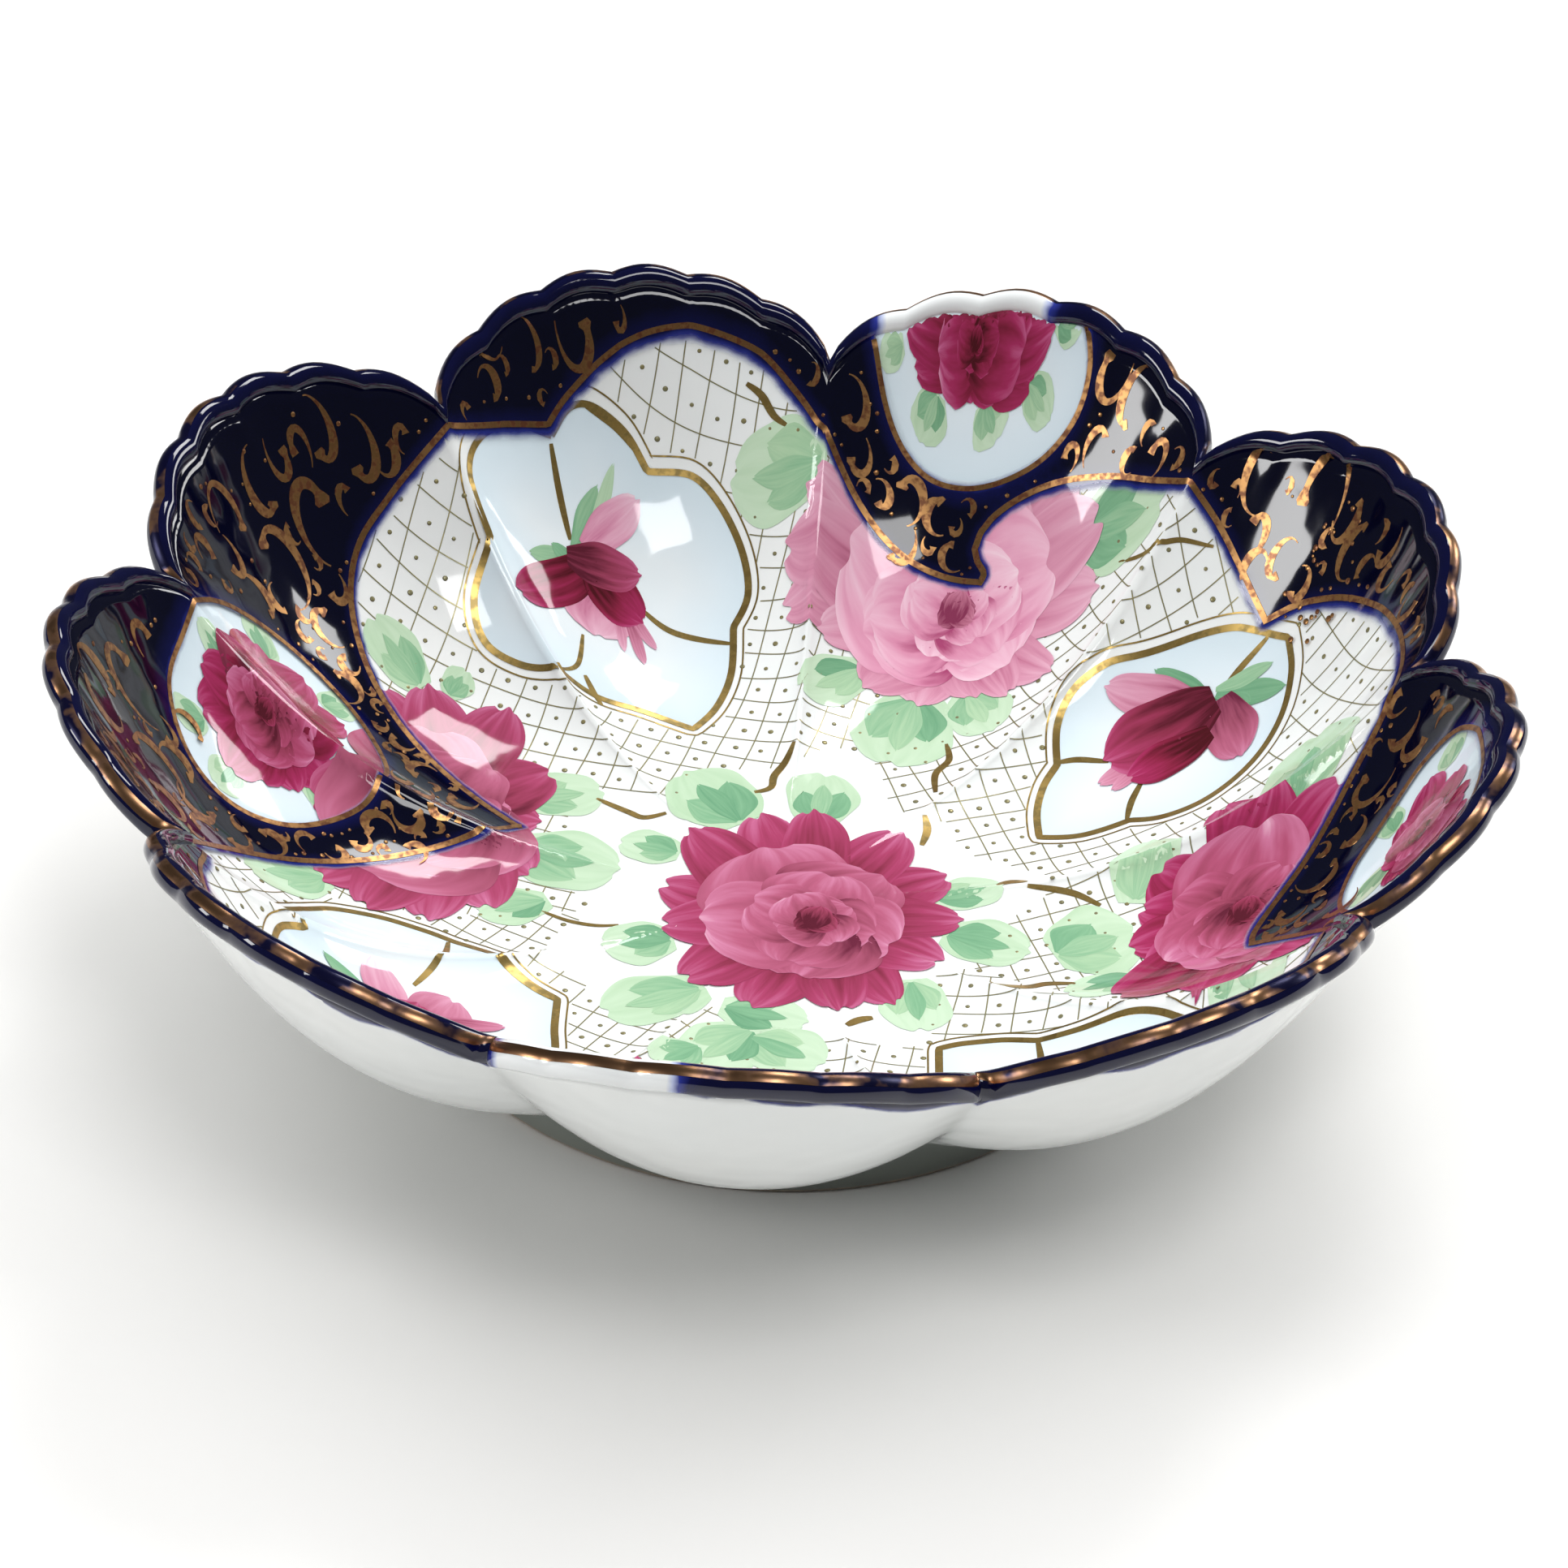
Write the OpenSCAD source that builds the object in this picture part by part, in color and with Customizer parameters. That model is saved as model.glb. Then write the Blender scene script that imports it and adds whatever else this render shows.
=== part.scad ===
// Lobed porcelain serving bowl: a moulded shell on a turned foot ring, with a rolled,
// ruffled lip, a cobalt border inside and a gilded line along the lip.
// +Z is up. The origin is on the surface that the foot stands on, on the bowl's axis.

/* [Rim] */
// Number of lobes round the bowl
lobes = 9; // [5:1:12]
// Radius of the wall's inner top edge at the middle of a lobe
rim_r = 122.8; // [90:0.2:160]
// How far the top edge steps in at a crease
notch_in = 13; // [4:0.5:20]
// Height of the wall's inner top edge at the middle of a lobe
rim_z = 70.4; // [50:0.2:100]
// How far the top edge dips at a crease
notch_drop = 13; // [4:0.5:20]
// Turn of the first crease about the axis, in degrees
crease_turn = 7; // [0:0.5:40]

/* [Wall] */
// Thickness of the porcelain wall
wall = 3.1; // [2.5:0.1:6]
// Thickness of the floor at its middle, over the foot ring's top
floor_t = 4; // [3:0.1:7]
// Steepness of the inside profile along a crease
crease_rise = 3.3; // [2.4:0.1:4]
// Steepness of the inside profile along the middle of a lobe
lobe_rise = 5; // [3.5:0.1:6]
// Roundness of a lobe in plan, where less is rounder
lobe_round = 0.66; // [0.5:0.02:1]
// Softness of the groove outside a crease at the foot
groove_soft = 0.34; // [0.1:0.02:0.5]

/* [Lip] */
// Radius of the rolled lip's section
lip_r = 2.4; // [2:0.1:4]
// Number of ruffles along each lobe
ruffles = 6; // [3:1:8]
// Height of a ruffle
ruffle_up = 1; // [0.2:0.1:2]
// How far a ruffle swells outwards
ruffle_out = 0.9; // [0.2:0.1:2]
// Share of the wall that the ruffles fade out over
ruffle_fade = 0.13; // [0.05:0.01:0.3]

/* [Foot] */
// Outer radius of the foot ring at its top
foot_r = 65.8; // [50:0.5:75]
// Width of the foot ring at its top
foot_w = 8; // [5:0.5:12]
// Height of the foot ring
foot_h = 10; // [6:0.5:11]
// Draw-in of the foot's outer and inner walls from top to bottom
foot_taper = 0.6; // [0:0.1:2]
// Chamfer on the two bottom edges of the foot
foot_chamfer = 0.9; // [0.3:0.1:1.5]

/* [Decoration] */
// Thickness of the cobalt border
cobalt_t = 0.3; // [0.2:0.05:0.6]
// Rings of the wall that the cobalt border covers
cobalt_rings = 3; // [1:1:5]
// Thickness of the gilded line
gilt_t = 0.2; // [0.1:0.05:0.4]

/* [Hidden] */
// Facets: spokes to a ruffle, rings of the wall inside and outside, and steps round the lip
spokes_per_ruffle = 4;
spokes = lobes * ruffles * spokes_per_ruffle;
step = 360 / spokes;
inner_rings = 10;
outer_rings = 7;
ring_spread = 0.62;
lip_steps = 6;
foot_facets = 180;
// Height of the inside floor at its middle
floor_z = foot_h + floor_t;
// The flat seat under the shell runs this far past the foot ring
seat_margin = 1.5;
seat_r = foot_r + seat_margin;
// Where the outer wall leaves the seat, and where it has become the true wall
seat_u = (seat_r - wall / 2) / (rim_r - notch_in);
blend_v = 0.45;
// Sharpness of the outer groove at the lip
groove_top = 0.04;

// Angle of spoke i; every crease falls midway between two spokes
function spoke(i) = crease_turn + (i + 0.5) * step;

// 0 at a crease and 1 at the middle of a lobe; soft rounds the crease off
function lobe_weight(a, soft) =
    let (s = sin(lobes * (a - crease_turn) / 2))
    pow(sqrt((s * s + soft * soft) / (1 + soft * soft)), lobe_round);

// How much of a ruffle there is at angle a and share u of the way to the rim
function ruffle(u, a) =
    let (fade = max(0, (u - 1 + ruffle_fade) / ruffle_fade))
    fade * fade * abs(sin(lobes * ruffles * (a - crease_turn) / 2));

function top_r(w) = rim_r - notch_in * (1 - w);
function top_z(w) = rim_z - notch_drop * (1 - w);
function rise(w) = crease_rise + (lobe_rise - crease_rise) * w;

// Point [radius, height] of the inside surface
function wall_point(u, a, w) =
    let (b = ruffle(u, a))
    [u * top_r(w) + ruffle_out * b, floor_z + (top_z(w) - floor_z) * pow(u, rise(w)) + ruffle_up * b];

// Unit normal [radius, height] that points out through the wall
function wall_normal(u, w) =
    let (
        run = top_r(w),
        climb = (top_z(w) - floor_z) * rise(w) * pow(u, rise(w) - 1),
        size = sqrt(run * run + climb * climb)
    )
    [climb / size, -run / size];

function inner_point(u, a) = wall_point(u, a, lobe_weight(a, 0));

function outer_point(u, a) =
    let (w = lobe_weight(a, groove_top + groove_soft * (1 - u)))
    wall_point(u, a, w) + wall * wall_normal(u, w);

function smooth(x) =
    let (t = max(0, min(1, x)))
    t * t * (3 - 2 * t);

// The outer wall leaves the round seat and blends into the lobed wall
function under_point(v, a) =
    let (seat = [seat_r, foot_h])
    seat + smooth(v / blend_v) * (outer_point(seat_u + (1 - seat_u) * v, a) - seat);

function ring_u(j) = pow(j / inner_rings, ring_spread);

// Section of the shell from the first inner ring over the top edge to the seat
function shell_section(a) = [
    for (j = [1:inner_rings]) inner_point(ring_u(j), a),
    for (j = [outer_rings:-1:0]) under_point(j / outer_rings, a)
];

// Section of the lip: its base on the wall's top edge, then an arc from outside to inside
function lip_section(a) =
    let (
        inside = inner_point(1, a),
        outside = outer_point(1, a),
        half = norm(outside - inside) / 2,
        along = (outside - inside) / (2 * half),
        up = [-along[1], along[0]],
        round_r = max(lip_r, half * 1.05),
        rise_up = sqrt(round_r * round_r - half * half),
        centre = (inside + outside) / 2 + rise_up * up,
        start = -asin(rise_up / round_r),
        sweep = 180 - 2 * start
    )
    [
        inside,
        outside,
        for (k = [1:lip_steps - 1])
            let (b = start + sweep * k / lip_steps)
            centre + round_r * (cos(b) * along + sin(b) * up)
    ];

// Section of the cobalt border: on the wall, then back at its own thickness
function cobalt_section(a) =
    let (
        w = lobe_weight(a, 0),
        first = inner_rings - cobalt_rings
    )
    [
        for (j = [first:inner_rings]) inner_point(ring_u(j), a),
        for (j = [inner_rings:-1:first])
            inner_point(ring_u(j), a) - cobalt_t * wall_normal(ring_u(j), w)
    ];

// Section of the gilded line: the two middle steps of the lip's arc and their offset
function gilt_section(a) =
    let (
        lip = lip_section(a),
        middle = lip_steps / 2 + 1,
        centre = (lip[0] + lip[1]) / 2
    )
    [
        for (k = [middle - 1:middle + 1]) lip[k],
        for (k = [middle + 1:-1:middle - 1])
            let (out = lip[k] - centre)
            lip[k] + gilt_t * out / norm(out)
    ];

function in_space(p, a) = [p[0] * cos(a), p[0] * sin(a), p[1]];

// Two triangles for each cell between ring j and ring k, at every spoke
function band(m, j, k, flip) = [
    for (i = [0:spokes - 1])
        let (
            n = (i + 1) % spokes,
            p = i * m + j,
            q = i * m + k,
            r = n * m + j,
            s = n * m + k
        )
        each flip ? [[p, q, r], [r, q, s]] : [[p, r, q], [r, s, q]]
];

// A closed ring whose section runs along sections[i] at spoke i
module ring_solid(sections, flip) {
    m = len(sections[0]);
    polyhedron(
        points = [for (i = [0:spokes - 1]) each [for (p = sections[i]) in_space(p, spoke(i))]],
        faces = [for (j = [0:m - 1]) each band(m, j, (j + 1) % m, flip)]
    );
}

module bowl_shell() {
    sections = [for (i = [0:spokes - 1]) shell_section(spoke(i))];
    m = len(sections[0]);
    floor_centre = spokes * m;
    seat_centre = floor_centre + 1;
    color("#f3f6f6")
    polyhedron(
        points = [
            for (i = [0:spokes - 1]) each [for (p = sections[i]) in_space(p, spoke(i))],
            [0, 0, floor_z],
            [0, 0, foot_h]
        ],
        faces = [
            for (j = [0:m - 2]) each band(m, j, j + 1, false),
            for (i = [0:spokes - 1])
                let (n = (i + 1) % spokes)
                each [
                    [floor_centre, n * m, i * m],
                    [seat_centre, i * m + m - 1, n * m + m - 1]
                ]
        ]
    );
}

module foot_ring() {
    inner_r = foot_r - foot_w;
    color("#e6e4dc")
    rotate_extrude($fn = foot_facets)
    polygon([
        [inner_r, foot_h],
        [inner_r + foot_taper, foot_chamfer],
        [inner_r + foot_taper + foot_chamfer, 0],
        [foot_r - foot_taper - foot_chamfer, 0],
        [foot_r - foot_taper, foot_chamfer],
        [foot_r, foot_h]
    ]);
}

module rolled_lip() {
    color("#151a5c")
    ring_solid([for (i = [0:spokes - 1]) lip_section(spoke(i))], true);
}

module cobalt_border() {
    color("#0b0e45")
    ring_solid([for (i = [0:spokes - 1]) cobalt_section(spoke(i))], true);
}

module gilt_edge() {
    color("#a9744a")
    ring_solid([for (i = [0:spokes - 1]) gilt_section(spoke(i))], false);
}

bowl_shell();
foot_ring();
rolled_lip();
cobalt_border();
gilt_edge();
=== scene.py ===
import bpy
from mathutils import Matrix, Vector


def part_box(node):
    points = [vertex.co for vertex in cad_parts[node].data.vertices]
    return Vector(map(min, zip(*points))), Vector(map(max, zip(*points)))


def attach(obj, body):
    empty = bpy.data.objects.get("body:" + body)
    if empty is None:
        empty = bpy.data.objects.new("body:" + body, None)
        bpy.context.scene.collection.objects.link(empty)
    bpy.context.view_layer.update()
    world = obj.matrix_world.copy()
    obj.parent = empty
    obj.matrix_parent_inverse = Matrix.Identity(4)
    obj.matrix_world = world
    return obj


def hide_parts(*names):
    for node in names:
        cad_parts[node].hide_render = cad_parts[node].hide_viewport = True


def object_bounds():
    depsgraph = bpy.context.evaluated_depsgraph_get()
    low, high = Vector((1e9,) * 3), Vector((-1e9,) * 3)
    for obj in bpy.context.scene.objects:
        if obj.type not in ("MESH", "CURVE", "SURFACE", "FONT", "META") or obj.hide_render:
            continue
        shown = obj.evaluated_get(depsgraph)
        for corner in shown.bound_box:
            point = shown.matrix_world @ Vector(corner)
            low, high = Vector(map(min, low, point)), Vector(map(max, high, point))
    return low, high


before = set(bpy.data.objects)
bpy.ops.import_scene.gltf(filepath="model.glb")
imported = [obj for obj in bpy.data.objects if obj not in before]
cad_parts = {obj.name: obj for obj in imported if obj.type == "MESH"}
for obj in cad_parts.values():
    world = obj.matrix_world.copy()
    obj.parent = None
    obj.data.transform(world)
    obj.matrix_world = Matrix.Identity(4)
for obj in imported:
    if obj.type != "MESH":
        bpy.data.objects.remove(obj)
import ast
import math
import random

import bmesh
import bpy
import numpy as np
from mathutils import Matrix, Vector

cadLow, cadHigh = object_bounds()
footLow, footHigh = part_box("foot_ring")
millimetre = 0.001


# helpers
def hexColour(text):
    # sRGB hex to the linear colour that a shader wants
    parts = [int(text[k:k + 2], 16) / 255 for k in (1, 3, 5)]
    return [p / 12.92 if p <= 0.04045 else ((p + 0.055) / 1.055) ** 2.4 for p in parts] + [1.0]


def addNode(tree, kind, inputs=None, **settings):
    # adds a node, sets its settings, and links or fills its inputs
    node = tree.nodes.new(kind)
    for name, value in settings.items():
        setattr(node, name, value)
    for key, value in (inputs or {}).items():
        socket = node.inputs[key]
        if isinstance(value, bpy.types.NodeSocket):
            tree.links.new(value, socket)
        else:
            socket.default_value = value
    return node


def formulaNodes(tree, text, known):
    # turns lines such as "name = a * sin(b)" into math nodes, and returns every named result
    signs = {ast.Add: "ADD", ast.Sub: "SUBTRACT", ast.Mult: "MULTIPLY", ast.Div: "DIVIDE",
             ast.Pow: "POWER"}
    calls = dict(sin="SINE", cos="COSINE", asin="ARCSINE", sqrt="SQRT", abs="ABSOLUTE", max="MAXIMUM",
                 min="MINIMUM")

    def build(part):
        if isinstance(part, ast.Constant):
            return float(part.value)
        if isinstance(part, ast.Name):
            return known[part.id]
        if isinstance(part, ast.BinOp):
            kind, parts = signs[type(part.op)], [part.left, part.right]
        else:
            kind, parts = calls[part.func.id], part.args
        inputs = dict(enumerate(map(build, parts)))
        return addNode(tree, "ShaderNodeMath", inputs, operation=kind).outputs[0]

    for line in text.strip().splitlines():
        name, formula = line.split(" = ")
        known[name.strip()] = build(ast.parse(formula.strip()).body[0].value)
    return known


def newTree(name, sizes):
    # a geometry tree with a named float input for each size
    tree = bpy.data.node_groups.new(name, "GeometryNodeTree")
    tree.interface.new_socket("Geometry", in_out="INPUT", socket_type="NodeSocketGeometry")
    for size in sizes:
        tree.interface.new_socket(size, in_out="INPUT", socket_type="NodeSocketFloat")
    tree.interface.new_socket("Geometry", in_out="OUTPUT", socket_type="NodeSocketGeometry")
    start = addNode(tree, "NodeGroupInput")
    end = addNode(tree, "NodeGroupOutput")
    return tree, start, end


def runTree(obj, tree, sizes):
    # runs a geometry tree on an object and keeps the plain mesh that it makes
    modifier = obj.modifiers.new(tree.name, "NODES")
    modifier.node_group = tree
    for item in tree.interface.items_tree:
        if item.in_out == "INPUT" and item.name in sizes:
            modifier[item.identifier] = sizes[item.name]
    evaluated = obj.evaluated_get(bpy.context.evaluated_depsgraph_get())
    mesh = bpy.data.meshes.new_from_object(evaluated)
    mesh.name = obj.name
    made = bpy.data.objects.new(obj.name + "Made", mesh)
    bpy.context.scene.collection.objects.link(made)
    name = obj.name
    bpy.data.objects.remove(obj)
    made.name = name
    return made


def newObject(name, data):
    obj = bpy.data.objects.new(name, data)
    bpy.context.scene.collection.objects.link(obj)
    return obj


def keep(obj, slotName, *nodes):
    # the bowl has one body, so every piece rides on the root
    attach(obj, "root")
    if nodes:
        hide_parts(*nodes)


def setAttribute(mesh, name, values, kind="FLOAT"):
    attribute = mesh.attributes.get(name) or mesh.attributes.new(name, kind, "POINT")
    field = "value" if kind == "FLOAT" else "vector"
    attribute.data.foreach_set(field, np.asarray(values, np.float32).ravel())


def vertexPlaces(mesh):
    places = np.empty(len(mesh.vertices) * 3, np.float32)
    mesh.vertices.foreach_get("co", places)
    return places.reshape(-1, 3)


def newMaterial(name):
    material = bpy.data.materials.new(name)
    material.use_nodes = True
    tree = material.node_tree
    return material, tree, tree.nodes["Principled BSDF"]


# camera, floor and light, in metres, degrees and watts, with the lens in millimetres
cameraPlan = dict(distance=0.9475, elevation=35.24, roll=2.36, lens=114.2, sensor=36.0, near=0.01,
                  aim=(0.0004, 0.0561, 0.0))


def makeCamera():
    tilt, roll = math.radians(cameraPlan["elevation"]), math.radians(cameraPlan["roll"])
    back = Vector((0, -math.cos(tilt), math.sin(tilt)))
    up = Vector((0, math.sin(tilt), math.cos(tilt)))
    right = Vector((1, 0, 0))
    rolledRight = math.cos(roll) * right + math.sin(roll) * up
    rolledUp = math.cos(roll) * up - math.sin(roll) * right
    data = bpy.data.cameras.new("studioCamera")
    data.lens = cameraPlan["lens"]
    data.sensor_width = cameraPlan["sensor"]
    data.clip_start = cameraPlan["near"]
    camera = newObject("studioCamera", data)
    turn = Matrix((rolledRight, rolledUp, back)).transposed().to_4x4()
    place = Vector(cameraPlan["aim"]) + back * cameraPlan["distance"]
    camera.matrix_world = Matrix.Translation(place) @ turn
    bpy.context.scene.camera = camera


lightPlan = dict(
    worldColour="#e9edf2", worldStrength=0.08,
    boxes=[
        # name, place, aim, width, depth, power, seen in the glaze
        ("softboxKey", (0.75, 1.90, 2.40), (0, 0, 0), 1.00, 0.72, 23.0, True),
        ("softboxRight", (2.00, 1.32, 1.12), (0, 0, 0), 0.80, 0.68, 15.0, True),
        ("softboxLeft", (-2.24, -0.44, 1.04), (0, 0, 0), 0.72, 0.68, 17.0, True),
        ("softboxFront", (0.52, -1.04, 2.24), (0, 0, 0), 0.92, 0.68, 15.5, True),
        ("ceilingFill", (-0.1, 1.0, 3.0), (0, 0, 0), 4.8, 4.8, 131.0, False),
    ],
)
tablePlan = dict(colour="#f4f3f1", roughness=0.6, reach=3.0)


def makeStudio():
    world = bpy.data.worlds.new("studioWorld")
    bpy.context.scene.world = world
    world.use_nodes = True
    background = world.node_tree.nodes["Background"]
    background.inputs["Color"].default_value = hexColour(lightPlan["worldColour"])
    background.inputs["Strength"].default_value = lightPlan["worldStrength"]
    for name, place, aim, width, depth, power, glossy in lightPlan["boxes"]:
        data = bpy.data.lights.new(name, "AREA")
        data.shape = "RECTANGLE"
        data.size = width
        data.size_y = depth
        data.energy = power
        lamp = newObject(name, data)
        lamp.location = place
        lamp.visible_glossy = glossy
        lamp.rotation_euler = (Vector(aim) - Vector(place)).to_track_quat("-Z", "Y").to_euler()
    floorMesh = bpy.data.meshes.new("studioFloor")
    reach = tablePlan["reach"]
    corners = [(-reach, -reach), (reach, -reach), (reach, reach), (-reach, reach)]
    floorMesh.from_pydata([(x, y, cadLow.z) for x, y in corners], [], [(0, 1, 2, 3)])
    floor = newObject("studioFloor", floorMesh)
    # matt white paint, which takes the bowl's soft shadow and mirrors nothing
    material, tree, shader = newMaterial("paintedTable")
    shader.inputs["Base Color"].default_value = hexColour(tablePlan["colour"])
    shader.inputs["Roughness"].default_value = tablePlan["roughness"]
    floorMesh.materials.append(material)
    bpy.context.scene.view_settings.view_transform = "Standard"


makeCamera()
makeStudio()
print("studio ready")


# materials, each named for the real finish
def rampColour(tree, value, stops):
    ramp = addNode(tree, "ShaderNodeValToRGB", {"Fac": value})
    while len(ramp.color_ramp.elements) < len(stops):
        ramp.color_ramp.elements.new(0.5)
    for element, (place, colour) in zip(ramp.color_ramp.elements, stops):
        element.position = place
        element.color = hexColour(colour)
    return ramp.outputs["Color"]


def mixedColour(tree, share, first, second):
    mix = addNode(tree, "ShaderNodeMix", {"Factor": share, "A": first, "B": second}, data_type="RGBA")
    return mix.outputs["Result"]


def meshValue(tree, name):
    # a value that the piece's own mesh carries
    return addNode(tree, "ShaderNodeAttribute", attribute_name=name).outputs["Fac"]


def softNoise(tree, scale, detail=2.0):
    # noise fixed to the bowl, with a scale in patches to the metre
    place = addNode(tree, "ShaderNodeTexCoord").outputs["Object"]
    noise = addNode(tree, "ShaderNodeTexNoise", {"Vector": place, "Scale": scale, "Detail": detail})
    return noise.outputs["Fac"]


# the glaze pools and thins every 10 mm or so, which breaks up what it mirrors
glazePlan = dict(rippleScale=95.0, rippleStrength=0.4, rippleDepth=0.0007, roughness=0.06, ior=1.52,
                 cobaltIor=1.55)


def glossOver(tree, shader, colour, ior=glazePlan["ior"]):
    # clear gloss over the colour, with the ripple of a hand-dipped glaze
    tree.links.new(colour, shader.inputs["Base Color"])
    bump = addNode(tree, "ShaderNodeBump", {"Strength": glazePlan["rippleStrength"],
                                            "Distance": glazePlan["rippleDepth"],
                                            "Height": softNoise(tree, glazePlan["rippleScale"], 1.0)})
    tree.links.new(bump.outputs[0], shader.inputs["Normal"])
    shader.inputs["Roughness"].default_value = glazePlan["roughness"]
    shader.inputs["IOR"].default_value = ior


# petals run from where they meet to their tips, and leaves from the pale wash to the wet strokes
enamelPlan = dict(
    hairScale=1.6,
    crimson=[(0.0, "#4c151d"), (0.25, "#862440"), (0.5, "#a6305e"), (0.75, "#c25e8b"), (1.0, "#e6abc6")],
    pink=[(0.0, "#ab4873"), (0.25, "#dc8fae"), (0.5, "#ebafc7"), (0.75, "#f3c8d9"), (1.0, "#fbe5ed")],
    green=[(0.0, "#cde5c8"), (0.3, "#b3d4ae"), (0.6, "#86b891"), (1.0, "#4f8c69")],
)


def brushStreaks(tree):
    # the hairs of the brush leave lines along each mark
    known = {name: meshValue(tree, name) for name in ("along", "across", "tone", "hue")}
    known = formulaNodes(tree, """
sideways = across * 2.2
lengthways = along * 0.9
page = tone * 37
""", known)
    place = addNode(tree, "ShaderNodeCombineXYZ",
                    {"X": known["sideways"], "Y": known["lengthways"], "Z": known["page"]})
    hair = addNode(tree, "ShaderNodeTexNoise",
                   {"Vector": place.outputs[0], "Scale": enamelPlan["hairScale"], "Detail": 3.0})
    known["hair"] = hair.outputs["Fac"]
    return known


def petalEnamel():
    # crimson and pink overglaze enamel: dark where petals meet, paler and streaky at the tips
    material, tree, shader = newMaterial("roseEnamel")
    known = formulaNodes(tree, """
edge = abs(across)
value = 0.08 + along ** 1.4 * 0.55 + (hair - 0.5) * 0.85 + (tone - 0.5) * 0.42 + edge ** 6 * 0.12 * along
""", brushStreaks(tree))
    crimson = rampColour(tree, known["value"], enamelPlan["crimson"])
    pink = rampColour(tree, known["value"], enamelPlan["pink"])
    glossOver(tree, shader, mixedColour(tree, known["hue"], crimson, pink))
    return material


def leafEnamel():
    # thin green enamel: a pale wash with darker wet strokes laid over it
    material, tree, shader = newMaterial("leafEnamel")
    known = formulaNodes(tree, "value = tone * 0.85 + (hair - 0.5) * 0.4 + (1 - along) * 0.08",
                         brushStreaks(tree))
    glossOver(tree, shader, rampColour(tree, known["value"], enamelPlan["green"]))
    return material


def glazedPorcelain():
    # hard-paste porcelain under a clear glaze: clean white, mirror-like, faintly uneven
    material, tree, shader = newMaterial("glazedPorcelain")
    white = mixedColour(tree, softNoise(tree, 28.0), hexColour("#f8f9f6"), hexColour("#f0f5f5"))
    glossOver(tree, shader, white)
    return material


def footGlaze():
    # glaze on the foot, wiped away at the ground edge that it stands on; its grey-green colour is painted
    # shade for the shadow that the bowl casts over the foot
    material, tree, shader = newMaterial("footGlaze")
    place = addNode(tree, "ShaderNodeTexCoord").outputs["Object"]
    level = addNode(tree, "ShaderNodeSeparateXYZ", {"Vector": place}).outputs["Z"]
    known = formulaNodes(tree, """
up = level * 100 + (noise - 0.5) * 0.06
rough = 0.1 + 0.6 * max(0, min(1, 1 - up * 10))
""", {"level": level, "noise": softNoise(tree, 160.0)})
    # the grey-green stops are painted shade for the shadow under the bowl; the brown stops are the bare
    # ground edge
    colour = rampColour(tree, known["up"], [(0.0, "#8d7a66"), (0.07, "#a3917c"), (0.11, "#83877f"),
                                            (1.0, "#8b928c")])
    tree.links.new(colour, shader.inputs["Base Color"])
    tree.links.new(known["rough"], shader.inputs["Roughness"])
    return material


def cobaltGlaze(name, soft):
    # cobalt oxide under glaze: nearly black where thick, flowing out to bright blue at its edge
    material, tree, shader = newMaterial(name)
    known = formulaNodes(tree, "flow = (depth + (noise - 0.5) * 0.9 + 0.9) / 4",
                         {"depth": meshValue(tree, "depth"), "noise": softNoise(tree, 260.0)})
    colour = rampColour(tree, known["flow"], [(0.0, "#f1f4f4"), (0.14, "#b9c2e2"), (0.26, "#2c3690"),
                                              (0.45, "#0c0f42"), (1.0, "#03041a")])
    if soft:
        known = formulaNodes(tree, "solid = min(1, max(0, depth + (noise - 0.5) * 0.9 + 0.5))", known)
        tree.links.new(known["solid"], shader.inputs["Alpha"])
    glossOver(tree, shader, colour, glazePlan["cobaltIor"])
    return material


def blueEnamel():
    # a thin pale blue wash, a little stronger towards its edge
    material, tree, shader = newMaterial("paleBlueEnamel")
    known = formulaNodes(tree, """
flow = (depth + (noise - 0.5) * 4 + 1) / 14
solid = min(1, max(0, depth * 0.8 + 0.5))
""", {"depth": meshValue(tree, "depth"), "noise": softNoise(tree, 60.0)})
    colour = rampColour(tree, known["flow"], [(0.0, "#f4f7f7"), (0.08, "#ddedf5"), (0.4, "#e4f2f9"),
                                              (1.0, "#eff7fa")])
    tree.links.new(known["solid"], shader.inputs["Alpha"])
    glossOver(tree, shader, colour)
    return material


def wornGilding(name, base, dark, wear, grain, metalShare):
    # fired gold rubbed by use: coppery metal, speckled where it has gone thin
    material, tree, shader = newMaterial(name)
    if isinstance(wear, str):
        wear = meshValue(tree, wear)
    known = formulaNodes(tree, """
worn = min(1, max(0, (speck - 0.5) * 6 + wear))
metal = metalShare * (1 - worn * 0.4)
""", {"speck": softNoise(tree, grain, 3.0), "wear": wear, "metalShare": metalShare})
    gold = mixedColour(tree, known["worn"], hexColour(base), hexColour(dark))
    tree.links.new(gold, shader.inputs["Base Color"])
    tree.links.new(known["metal"], shader.inputs["Metallic"])
    shader.inputs["Roughness"].default_value = 0.3
    return material


porcelain = glazedPorcelain()
footPorcelainAndShade = footGlaze()
cobalt = cobaltGlaze("cobaltGlaze", True)
lipCobalt = cobaltGlaze("lipCobaltGlaze", False)
paleBlue = blueEnamel()
rosePaint = petalEnamel()
leafPaint = leafEnamel()
# each gilding: name, gold, what shows where it is worn, how worn, specks to the metre, share of metal
rimGilding = wornGilding("wornRimGilding", "#b98c68", "#0b0b34", "rubbed", 150.0, 1.0)
panelGold = wornGilding("panelGilding", "#c6a661", "#8f7a45", 0.4, 500.0, 0.9)
netGold = wornGilding("netGilding", "#9d9468", "#86825f", 0.5, 500.0, 0.45)
borderGold = wornGilding("borderGilding", "#b98a58", "#74482e", 0.35, 700.0, 0.95)
print("materials mixed")

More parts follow.
